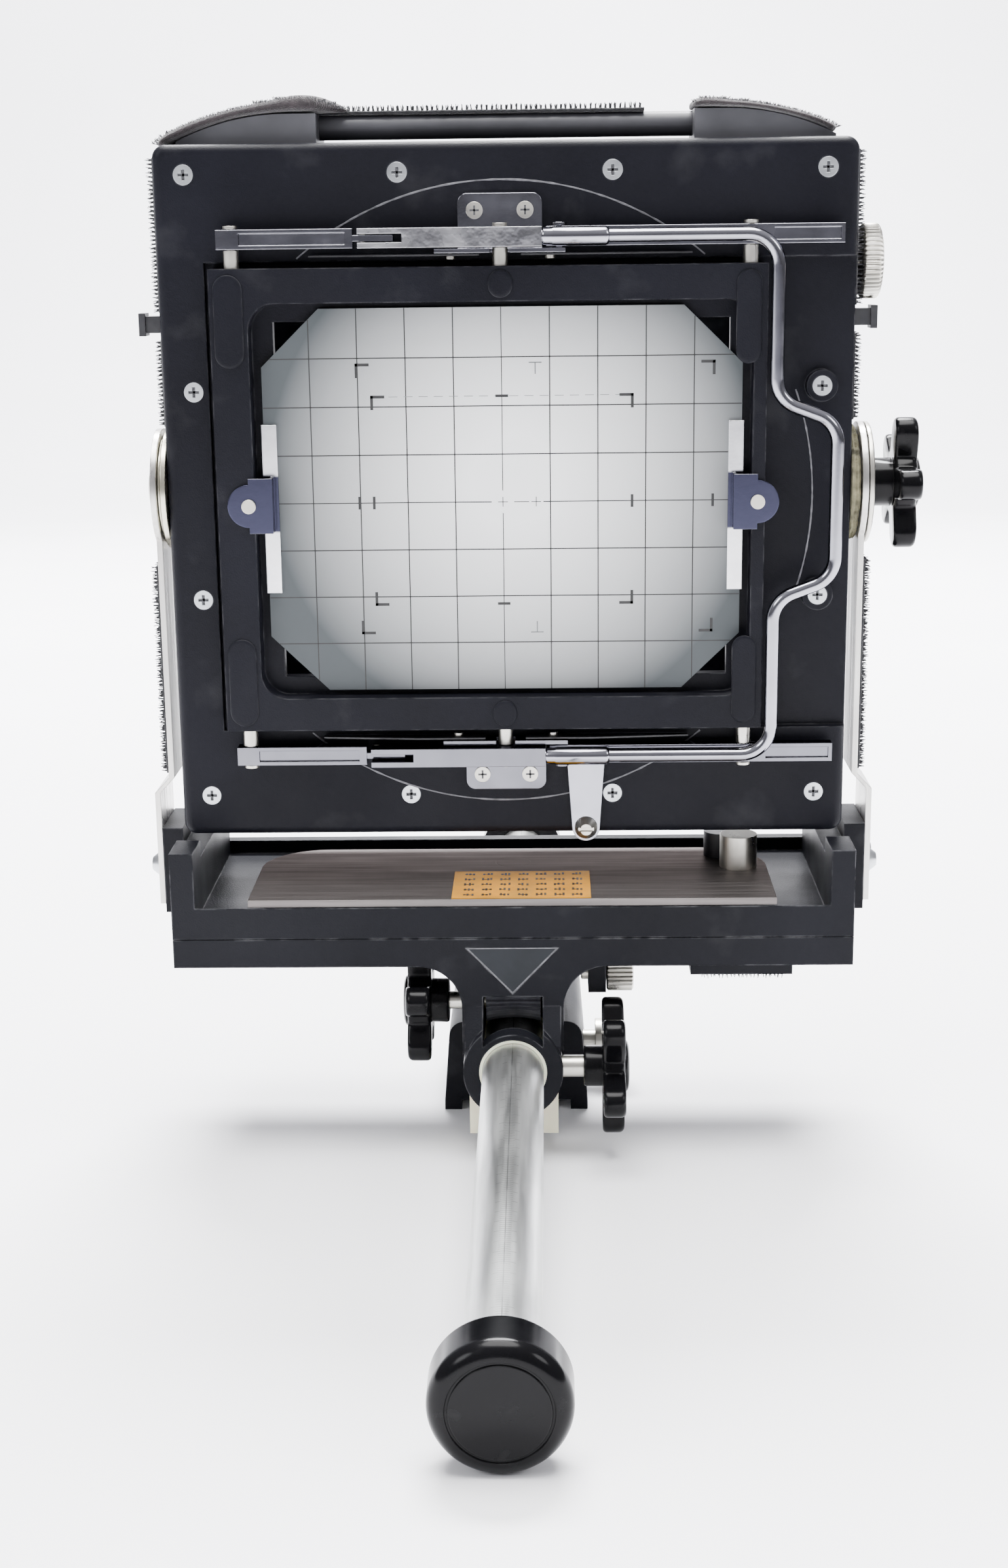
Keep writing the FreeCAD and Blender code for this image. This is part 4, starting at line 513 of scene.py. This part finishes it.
bm = bmesh.new()
add_turned(bm, TILT_AXIS, [(92.2, 0.3), (92.7, -0.2), (93.3, 0.4), (93.9, 0.0), (94.5, 0.7)], crust, 270)
washer = add_piece("friction_washer_worn", finish_mesh("washer_worn", bm), "rear_frame",
                   LOOKS["cork"])
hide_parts("friction_washers")
make_round("friction_washer_ring", "friction_washers", "rear_frame", RING_METAL, TILT_AXIS, [
    ([(-92.2, 0.3), (-92.4, 0.0), (-93.6, 0.0), (-93.9, 0.3)], lambda a: 16.4, 120),
    ([(-93.8, 0.0), (-94.6, 0.0)], lambda a: 14.6, 96)])


# ---- hook-and-loop strips ----
def bristle_strip(bm, corner, along, across, out, pile, pitch, spacing, lean=0.2, thick=0.2):
    """Rows of short stiff hooks over a patch; along, across and out are vectors in mm."""
    corner, along, across, out = (Vector(v) for v in (corner, along, across, out))
    rows = max(2, int(along.length / pitch))
    columns = max(2, int(across.length / spacing))
    side, up = along.normalized(), across.normalized()
    for row in range(rows):
        for column in range(columns):
            foot = corner + along * ((row + 0.5 + draw.uniform(-0.15, 0.15)) / rows)
            foot += across * ((column + 0.5 + draw.uniform(-0.3, 0.3)) / columns)
            tip = foot + out * (pile * draw.uniform(0.7, 1.0))
            tip += (side * draw.uniform(-lean, lean) + up * draw.uniform(-lean, lean)) * pile
            corners = [side * thick, up * thick - side * thick / 2, -up * thick - side * thick / 2]
            base = [bm.verts.new((foot + step) * MM) for step in corners]
            end = [bm.verts.new((tip + step * 0.55) * MM) for step in corners]
            bm.faces.new((base[0], base[2], base[1]))
            bm.faces.new(end)
            for i in range(3):
                bm.faces.new((base[i], base[(i + 1) % 3], end[(i + 1) % 3], end[i]))


def add_band(bm, corner, along, across, out, thick, steps=60):
    """A thin woven band with slightly wavy selvedges."""
    corner, along, across, out = (Vector(v) for v in (corner, along, across, out))
    up = across.normalized()
    rings = []
    for i in range(steps + 1):
        foot = corner + along * (i / steps)
        near, far = draw.uniform(-0.15, 0.15), draw.uniform(-0.15, 0.15)
        high = thick * draw.uniform(0.9, 1.05)
        low_edge, high_edge = foot + up * near, foot + across + up * far
        rings.append([low_edge, low_edge + out * high * 0.7, low_edge + up * 0.3 + out * high,
                      high_edge - up * 0.3 + out * high, high_edge + out * high * 0.7, high_edge])
    add_rings(bm, rings)


HOOK_PITCH, HOOK_SPACING = 1.05, 0.9
STRIPS = {
    "side_strips": ("rear_frame", "frame_strips", 92.02, (-38.6, -11.4), ((50.2, 89.8), (20.2, 42.8))),
    "arm_strips": ("tray", "arm_strips", 96.42, (-37.6, -18.4), ((-76.3, -17.8),)),
}
for name, (body, node, face, (near, far), spans) in STRIPS.items():
    band_mesh, hook_mesh = bmesh.new(), bmesh.new()
    for turn in (-1, 1):
        for z_low, z_high in spans:
            corner = Vector((turn * face, near, CENTRE_Z + z_low))
            along, across, out = (0, 0, z_high - z_low), (0, far - near, 0), (turn, 0, 0)
            add_band(band_mesh, corner, along, across, out, 0.6)
            bristle_strip(hook_mesh, corner + Vector(out) * 0.5, along, across, out, 1.8,
                          HOOK_PITCH, HOOK_SPACING)
    band = add_piece(name + "_woven", finish_mesh(name + "_band", band_mesh), body, LOOKS["loop_fabric"],
                     0)
    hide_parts(node)
    add_piece(name + "_hooks", finish_mesh(name + "_hooks", hook_mesh), body, BRISTLE, 0)

HUMP_TOP, HUMP_IN, HUMP_FLAT, HUMP_CURVE = 283.6, 49.5, 8.0, 66.0
HUMP_NEAR, HUMP_FAR, BAR_Y, BAR_TOP = -35.0, -13.0, -24.0, 283.5


def hump_height(reach):
    """Height of the handle mount's top, this far out from its inner end."""
    beyond = max(0.0, reach - HUMP_FLAT)
    return HUMP_TOP - HUMP_CURVE + math.sqrt(HUMP_CURVE ** 2 - beyond ** 2)


# reach from the mount's inner end, and the thickness of the fabric there
LEFT_FABRIC = [(-8.0, 0.9), (-5.5, 2.2), (-3.0, 3.2), (-0.5, 4.1), (3.0, 4.4), (7.0, 4.3), (11.0, 3.6),
               (16.0, 2.9), (22.0, 2.7), (28.0, 2.8), (33.0, 2.9), (36.5, 2.8)]
RIGHT_FABRIC = [(-0.6, 1.7), (1.5, 2.7), (5.0, 2.5), (9.0, 2.0), (14.0, 1.8), (20.0, 1.7), (26.0, 1.8),
                (31.0, 1.9), (34.5, 2.0), (37.2, 1.7)]
fabric_mesh, hook_mesh = bmesh.new(), bmesh.new()
for turn, fabric in ((-1, LEFT_FABRIC), (1, RIGHT_FABRIC)):
    path = [(turn * (HUMP_IN + reach),
             hump_height(reach) + 0.15 + 0.25 * math.exp(-(reach + 6) ** 2 / 12), thick)
            for reach, thick in fabric]
    if turn < 0:
        path += [(-88.6, 276.6, 2.6), (-91.2, 274.6, 2.0)]
    rings = []
    for index, (x, z, thick) in enumerate(path):
        before, after = path[max(index - 1, 0)], path[min(index + 1, len(path) - 1)]
        out = Vector((before[1] - after[1], 0, after[0] - before[0])).normalized() * turn
        narrow = min(1.0, max(0.35, 0.55 + 0.15 * (abs(x) - HUMP_IN + 3)))
        near = BAR_Y + (HUMP_NEAR - 1.6 - BAR_Y) * narrow + draw.uniform(-0.7, 0.4)
        far = BAR_Y + (HUMP_FAR + 1.2 - BAR_Y) * narrow + draw.uniform(-0.4, 0.7)
        base = Vector((x, 0, z + draw.uniform(-0.05, 0.12)))
        ring = [base + Vector((0, near + (far - near) * share, 0)) for share in (0.0, 0.5, 1.0)]
        for share, high in ((1.0, 0.7), (0.92, 1.0), (0.7, 1.05), (0.5, 0.95), (0.3, 1.05), (0.08, 1.0),
                            (0.0, 0.75)):
            ring.append(base + out * thick * high * draw.uniform(0.93, 1.06)
                        + Vector((0, near + (far - near) * share, 0)))
        rings.append(ring)
    add_rings(fabric_mesh, rings)
    for (x, z, thick), (x_next, z_next, _) in zip(path, path[1:]):
        run = Vector((x_next - x, 0, z_next - z))
        out = Vector((-run.z, 0, run.x)).normalized() * turn
        bristle_strip(hook_mesh, Vector((x, HUMP_NEAR - 1.2, z)) + out * thick * 0.8, run,
                      (0, HUMP_FAR - HUMP_NEAR + 1.0, 0) if abs(x) > HUMP_IN else (0, 4.0, 0), out,
                      0.9, 0.6, 0.7, 0.9, 0.13)
humps = add_piece("handle_strips_loop", finish_mesh("hump_fabric", fabric_mesh), "rear_frame",
                  HUMP_FABRIC, 60)
subdivide = humps.modifiers.new("soft", "SUBSURF")
subdivide.levels = subdivide.render_levels = 2
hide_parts("frame_strips")
bar_band = bmesh.new()
add_band(bar_band, (-49.4, BAR_Y - 3.0, BAR_TOP + 0.05), (86.2, 0, 0), (0, 6.0, 0), (0, 0, 1), 0.9)
bristle_strip(hook_mesh, (-49.0, BAR_Y - 3.0, BAR_TOP + 0.8), (85.4, 0, 0), (0, 6.0, 0), (0, 0, 1), 1.7, 1.3,
              0.9)
pad_mesh = bmesh.new()
bristle_strip(pad_mesh, (52.0, -59.0, 53.95), (23.0, 0, 0), (0, 22.0, 0), (0, 0, -1), 1.6,
              HOOK_PITCH, HOOK_SPACING)
add_piece("base_pad_hooks", finish_mesh("pad_hooks", pad_mesh), "carriage", BRISTLE, 0)
add_piece("handle_bar_band", finish_mesh("bar_band", bar_band), "rear_frame", LOOKS["loop_fabric"],
          0)
hook_faces = finish_mesh("hump_hooks", hook_mesh)
add_piece("handle_strips_pile", hook_faces, "rear_frame", BRISTLE, 0)

# ---- ground glass markings ----
GLASS_Y = -46.05
GRID = 12.7


def draw_marks(name, look, strokes, thick):
    """Thin printed strokes on the glass; each is x, z, x, z about the picture centre, and a width."""
    bm = bmesh.new()
    for x1, z1, x2, z2, width in strokes:
        if abs(x2 - x1) >= abs(z2 - z1):
            low = (CENTRE_X + min(x1, x2), GLASS_Y - thick, CENTRE_Z + z1 - width / 2)
            high = (CENTRE_X + max(x1, x2), GLASS_Y, CENTRE_Z + z1 + width / 2)
        else:
            low = (CENTRE_X + x1 - width / 2, GLASS_Y - thick, CENTRE_Z + min(z1, z2))
            high = (CENTRE_X + x1 + width / 2, GLASS_Y, CENTRE_Z + max(z1, z2))
        add_bar(bm, low, high)
    add_piece(name, finish_mesh(name, bm), "focusing_back", look, 0)


grid = []
for step in range(-4, 5):
    reach = 51.0 if abs(step) < 4 else 48.2
    x = step * GRID
    if step == 0:
        grid += [(x, 3.0, x, reach, 0.22), (x, -reach, x, -3.0, 0.22)]
    else:
        grid.append((x, -reach, x, reach, 0.30))
for step in range(-3, 4):
    reach = 63.4 if abs(step) < 3 else 61.3
    z = step * GRID
    if step == 0:
        grid += [(3.0, z, 7.0, z, 0.22), (10.8, z, reach, z, 0.26), (-reach, z, -3.0, z, 0.26)]
    else:
        grid.append((-reach, z, reach, z, 0.30))
grid += [(-1.3, 0, 1.3, 0, 0.2), (0, -1.3, 0, 1.3, 0.2), (7.6, 0, 10.2, 0, 0.2), (8.9, -1.3, 8.9, 1.3, 0.2)]
draw_marks("screen_grid", INK, grid, 0.02)

LEG = 3.4
bold = []
for x_low, x_high, z_low, z_high in ((-34.5, 34.5, -27.5, 28.0), (-38.4, 56.0, -35.3, 36.4)):
    for x, inward in ((x_low, 1), (x_high, -1)):
        for z, down in ((z_high, -1), (z_low, 1)):
            bold.append((x - inward * 0.35, z, x + inward * LEG, z, 0.75))
            bold.append((x, z - down * 0.35, x, z + down * LEG, 0.75))
bold += [(-1.7, 28.0, 1.7, 28.0, 0.7), (-1.7, -27.5, 1.7, -27.5, 0.7)]
bold += [(x, -1.7, x, 1.7, 0.7) for x in (-38.4, -34.5, 34.5, 56.0)]
draw_marks("screen_crop_marks", INK, bold, 0.03)
faint = [(7.2, 36.6, 10.6, 36.6, 0.3), (8.9, 33.6, 8.9, 36.6, 0.3), (7.2, -35.4, 10.6, -35.4, 0.3),
         (8.9, -35.4, 8.9, -32.4, 0.3)]
faint += [(-30.0 + 4 * i, 28.0, -27.6 + 4 * i, 28.0, 0.15) for i in range(16)]
draw_marks("screen_faint_marks", FAINT_INK, faint, 0.025)

# ---- oval bosses of the focusing frame ----
bm = bmesh.new()
FRAME_Y = -50.5
for x, z_low, z_high, half in ((-71.0, 36.0, 60.0, 3.85), (-71.0, -60.0, -36.0, 3.85),
                               (0.0, 53.4, 60.6, 3.2), (0.0, -60.6, -53.4, 3.2),
                               (64.6, 36.0, 60.0, 3.3), (64.6, -60.0, -36.0, 3.3)):
    rings = []
    for inset, out in ((0.0, -0.2), (0.0, 0.25), (0.25, 0.45), (0.6, 0.5), (1.2, 0.5)):
        shape = capsule(CENTRE_X + x, CENTRE_Z + z_low + inset, CENTRE_Z + z_high - inset, half - inset)
        rings.append([(px, FRAME_Y - out, pz) for px, pz in shape])
    add_rings(bm, rings)
add_piece("focusing_frame_bosses", finish_mesh("bosses", bm), "focusing_back", LOOKS["black_frame"])

# ---- bail wire with its ferrules ----
BAIL_Y, WIRE, LEVER_END = -51.3, 1.8, 9.5
LINKAGE_Z, BAIL_X, BUMP_X, BAIL_BEND, FERRULE_RADIUS = 68.8, 70.6, 86.8, 8.0, 2.45


def bent_line(corners, bend, steps=10):
    """Points along straight runs joined by round bends."""
    points = [Vector(corners[0])]
    for before, corner, after in zip(corners, corners[1:], corners[2:]):
        corner = Vector(corner)
        inward = (Vector(before) - corner).normalized()
        outward = (Vector(after) - corner).normalized()
        half = inward.angle(outward) / 2
        centre = corner + (inward + outward).normalized() * (bend / math.sin(half))
        start = corner + inward * (bend / math.tan(half)) - centre
        end = corner + outward * (bend / math.tan(half)) - centre
        for i in range(steps + 1):
            points.append(centre + start.normalized().slerp(end.normalized(), i / steps) * bend)
    points.append(Vector(corners[-1]))
    return points


def add_tube(bm, points, radius, around=24):
    """A round tube along points, each ring set square to the path against a fixed up direction."""
    up = Vector((0, 1, 0))
    rings = []
    for index, point in enumerate(points):
        ahead = points[min(index + 1, len(points) - 1)] - points[max(index - 1, 0)]
        ahead.normalize()
        side = up.cross(ahead).normalized()
        true_up = ahead.cross(side)
        rings.append([point + (side * math.cos(a) + true_up * math.sin(a)) * radius
                      for a in (2 * math.pi * i / around for i in range(around))])
    add_rings(bm, rings)


def bail_point(x, z):
    return (x, BAIL_Y, CENTRE_Z + z)


upper = [bail_point(LEVER_END - 3.0, LINKAGE_Z), bail_point(BAIL_X, LINKAGE_Z), bail_point(BAIL_X, 26.5),
         bail_point(BUMP_X, 20.5)]
lower = [bail_point(BUMP_X, -20.5), bail_point(BAIL_X, -26.5), bail_point(BAIL_X, -LINKAGE_Z),
         bail_point(LEVER_END - 3.0, -LINKAGE_Z)]
bm = bmesh.new()
add_tube(bm, bent_line(upper + lower, BAIL_BEND), WIRE)
wire = add_piece("bail_wire_bent", finish_mesh("bail", bm), "bail", LOOKS["chrome"])
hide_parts("bail_wire")
bm = bmesh.new()
for z in (LINKAGE_Z, -LINKAGE_Z):
    centre = (0, BAIL_Y, CENTRE_Z + z)
    add_turned(bm, centre, [(9.6, 0.5), (10.0, 0.25), (12.0, 0.2), (12.4, 0.0), (26.0, 0.0), (26.6, 0.3),
                            (26.9, 0.7)], lambda a: FERRULE_RADIUS, 40)
add_piece("bail_ferrules", finish_mesh("ferrules", bm), "bail", LOOKS["chrome"])

# ---- seam ring of the back, badge outline, generic strokes on the card ----
bm = bmesh.new()
SEAM_RADIUS = 83.2
for start, stop, surface in ((50.0, 130.0, FACE_Y), (230.0, 310.0, FACE_Y), (-20.0, 20.0, -40.0)):
    rings = []
    for i in range(61):
        a = math.radians(start + (stop - start) * i / 60)
        x, z = CENTRE_X + SEAM_RADIUS * math.cos(a), CENTRE_Z + SEAM_RADIUS * math.sin(a)
        out = Vector((math.cos(a), 0, math.sin(a)))
        base = Vector((x, surface, z))
        width = 0.28 + draw.uniform(-0.08, 0.08)
        sink = Vector((0, 0.05, 0))
        rings.append([base - out * width + sink, base - out * width * 0.6 - sink,
                      base + out * width * 0.6 - sink, base + out * width + sink])
    add_rings(bm, rings)
add_piece("back_seam_ring", finish_mesh("seam", bm), "rear_frame", LIGHT_LINE, 0)

BADGE_Y = -64.0
bm = bmesh.new()
corners = [(-12.8, 63.4), (12.8, 63.4), (0.0, 50.0)]
middle = Vector((0, 0, 58.9))
outer = [Vector((x, 0, z)) for x, z in corners]
inner = [middle + (p - middle) * 0.93 for p in outer]
for i in range(3):
    j = (i + 1) % 3
    quad = [outer[i], outer[j], inner[j], inner[i]]
    front = [bm.verts.new((p + Vector((0, BADGE_Y - 0.06, 0))) * MM) for p in quad]
    back = [bm.verts.new((p + Vector((0, BADGE_Y, 0))) * MM) for p in quad]
    bm.faces.new(front)
    bm.faces.new(list(reversed(back)))
    for k in range(4):
        bm.faces.new((front[k], front[(k + 1) % 4], back[(k + 1) % 4], back[k]))
add_piece("badge_outline", finish_mesh("badge_line", bm), "carriage", LIGHT_LINE, 0)

CARD_COLUMNS, CARD_ROWS = 7, 5
low, high = (Vector(corner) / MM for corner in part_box("scale_card"))
bm = bmesh.new()
for column in range(CARD_COLUMNS):
    x = low.x + 3.0 + column * (high.x - low.x - 8.0) / (CARD_COLUMNS - 1)
    for row in range(CARD_ROWS):
        y = low.y + 3.0 + row * (high.y - low.y - 6.0) / (CARD_ROWS - 1)
        for stroke in range(3):
            start = x + stroke * 1.1 + draw.uniform(-0.2, 0.2)
            add_bar(bm, (start, y + draw.uniform(-1.1, -0.4), high.z - 0.01),
                    (start + 0.62, y + draw.uniform(0.6, 1.5), high.z + 0.03))
        add_bar(bm, (x, y - 0.2, high.z - 0.01), (x + draw.uniform(1.2, 3.0), y + 0.25, high.z + 0.03))
add_piece("card_tick_marks", finish_mesh("card_ticks", bm), "swing", PEN, 0)


# ---- crosses in the screws: painted shade in their cross recesses ----
def add_cross(bm, x, z, y, reach, half):
    add_bar(bm, (x - reach, y - 0.04, z - half), (x + reach, y, z + half))
    add_bar(bm, (x - half, y - 0.04, z - reach), (x + half, y, z + reach))


bm = bmesh.new()
for x in (-6.6, 6.6):
    for z in (75.5, -75.5):
        add_cross(bm, CENTRE_X + x, CENTRE_Z + z, -44.85, 1.2, 0.25)
for x in (-83.7, -28.0, 28.0, 83.7):
    for z in (85.3, -81.5):
        add_cross(bm, x, CENTRE_Z + z, FACE_Y + 0.55, 1.35, 0.32)
for x in (-83.5, 83.5):
    for z in (29.5, -26.4):
        add_cross(bm, x, CENTRE_Z + z, FACE_Y + 0.55, 1.35, 0.32)
add_piece("screw_crosses", finish_mesh("crosses", bm), "rear_frame", CROSS_RECESS_SHADE, 0)

# ---- camera, sweep, lights ----
PITCH, YAW, ROLL = math.radians(14.388), math.radians(-1.253), math.radians(-0.711)
forward = Vector((math.sin(YAW) * math.cos(PITCH), math.cos(YAW) * math.cos(PITCH), -math.sin(PITCH)))
right = Vector((math.cos(YAW), -math.sin(YAW), 0))
up = right.cross(forward)
cam_x = right * math.cos(ROLL) + up * math.sin(ROLL)
cam_y = up * math.cos(ROLL) - right * math.sin(ROLL)
camera = bpy.data.objects.new("camera", bpy.data.cameras.new("camera"))
camera.data.lens = 49.62
camera.data.sensor_width = 36.0
camera.data.clip_start = 0.01
camera.matrix_world = (Matrix.Translation((0.01059, -0.62489, 0.25356))
                       @ Matrix((cam_x, cam_y, -forward)).transposed().to_4x4())
bpy.context.scene.collection.objects.link(camera)
bpy.context.scene.camera = camera

FLOOR_SLOPE = math.atan2(15.3, 220.0)
FLOOR_LINE_Y = -0.026
look = Look("sweep_paper", (0.90, 0.90, 0.92), 0.75, Specular_IOR_Level=0.2)
look.mottle(3.0, 0.97, 1.02)
# painted shade: the sweep darkens from 0.72 m to 1.3 m in front of the object, so that glossy parts reflect a
# darker room
look.tint(look.span(look.axis(1), -0.72, -1.3), (0.22, 0.22, 0.24))
look.grain(300.0, 0.0001, 0.2)
bm = bmesh.new()
profile = [(-4.0, 0.0), (0.0, 0.0), (3.0, 0.0)]
profile += [(3.0 + 1.5 * math.sin(a), 1.5 - 1.5 * math.cos(a)) for a in
            (math.radians(10 * i) for i in range(1, 10))] + [(4.5, 5.0)]
rows = []
for x in (-6.0, 6.0):
    rows.append([bm.verts.new((x, FLOOR_LINE_Y + along * math.cos(FLOOR_SLOPE) + high * math.sin(FLOOR_SLOPE),
                               high * math.cos(FLOOR_SLOPE) - along * math.sin(FLOOR_SLOPE)))
                 for along, high in profile])
for i in range(len(profile) - 1):
    bm.faces.new((rows[0][i], rows[1][i], rows[1][i + 1], rows[0][i + 1]))
mesh = finish_mesh("sweep", bm)
mesh.shade_smooth()
mesh.materials.append(look.mat)
sweep = bpy.data.objects.new("sweep", mesh)
bpy.context.scene.collection.objects.link(sweep)


def area_light(name, place, target, size, power, colour):
    data = bpy.data.lights.new(name, "AREA")
    data.shape = "DISK"
    data.size = size
    data.energy = power
    data.color = colour
    lamp = bpy.data.objects.new(name, data)
    lamp.location = place
    lamp.rotation_mode = "QUATERNION"
    lamp.rotation_quaternion = (Vector(target) - Vector(place)).to_track_quat("-Z", "Y")
    bpy.context.scene.collection.objects.link(lamp)


area_light("overhead", (0.0, -0.1, 2.0), (0, -0.1, 0.1), 1.6, 120.0, (1.0, 0.995, 0.99))
area_light("left_fill", (-1.8, -1.3, 1.5), (0, 0, 0.15), 1.0, 26.0, (0.97, 0.98, 1.0))
area_light("right_fill", (1.9, -0.9, 1.5), (0, 0, 0.15), 0.9, 20.0, (0.98, 0.98, 1.0))
area_light("back_wash", (0.0, 1.6, 2.4), (0, 2.6, 0.2), 1.6, 620.0, (0.98, 0.98, 1.0))
world = bpy.data.worlds.new("room")
world.use_nodes = True
background = world.node_tree.nodes["Background"]
height = world.node_tree.nodes.new("ShaderNodeSeparateXYZ")
sky = world.node_tree.nodes.new("ShaderNodeTexCoord")
shade = world.node_tree.nodes.new("ShaderNodeMapRange")
world.node_tree.links.new(sky.outputs["Generated"], height.inputs[0])
world.node_tree.links.new(height.outputs["Z"], shade.inputs["Value"])
shade.inputs["From Min"].default_value = -0.1
shade.inputs["From Max"].default_value = 0.9
shade.inputs["To Min"].default_value = 0.12
shade.inputs["To Max"].default_value = 1.0
world.node_tree.links.new(shade.outputs[0], background.inputs["Strength"])
background.inputs["Color"].default_value = (0.93, 0.92, 0.97, 1)
bpy.context.scene.world = world
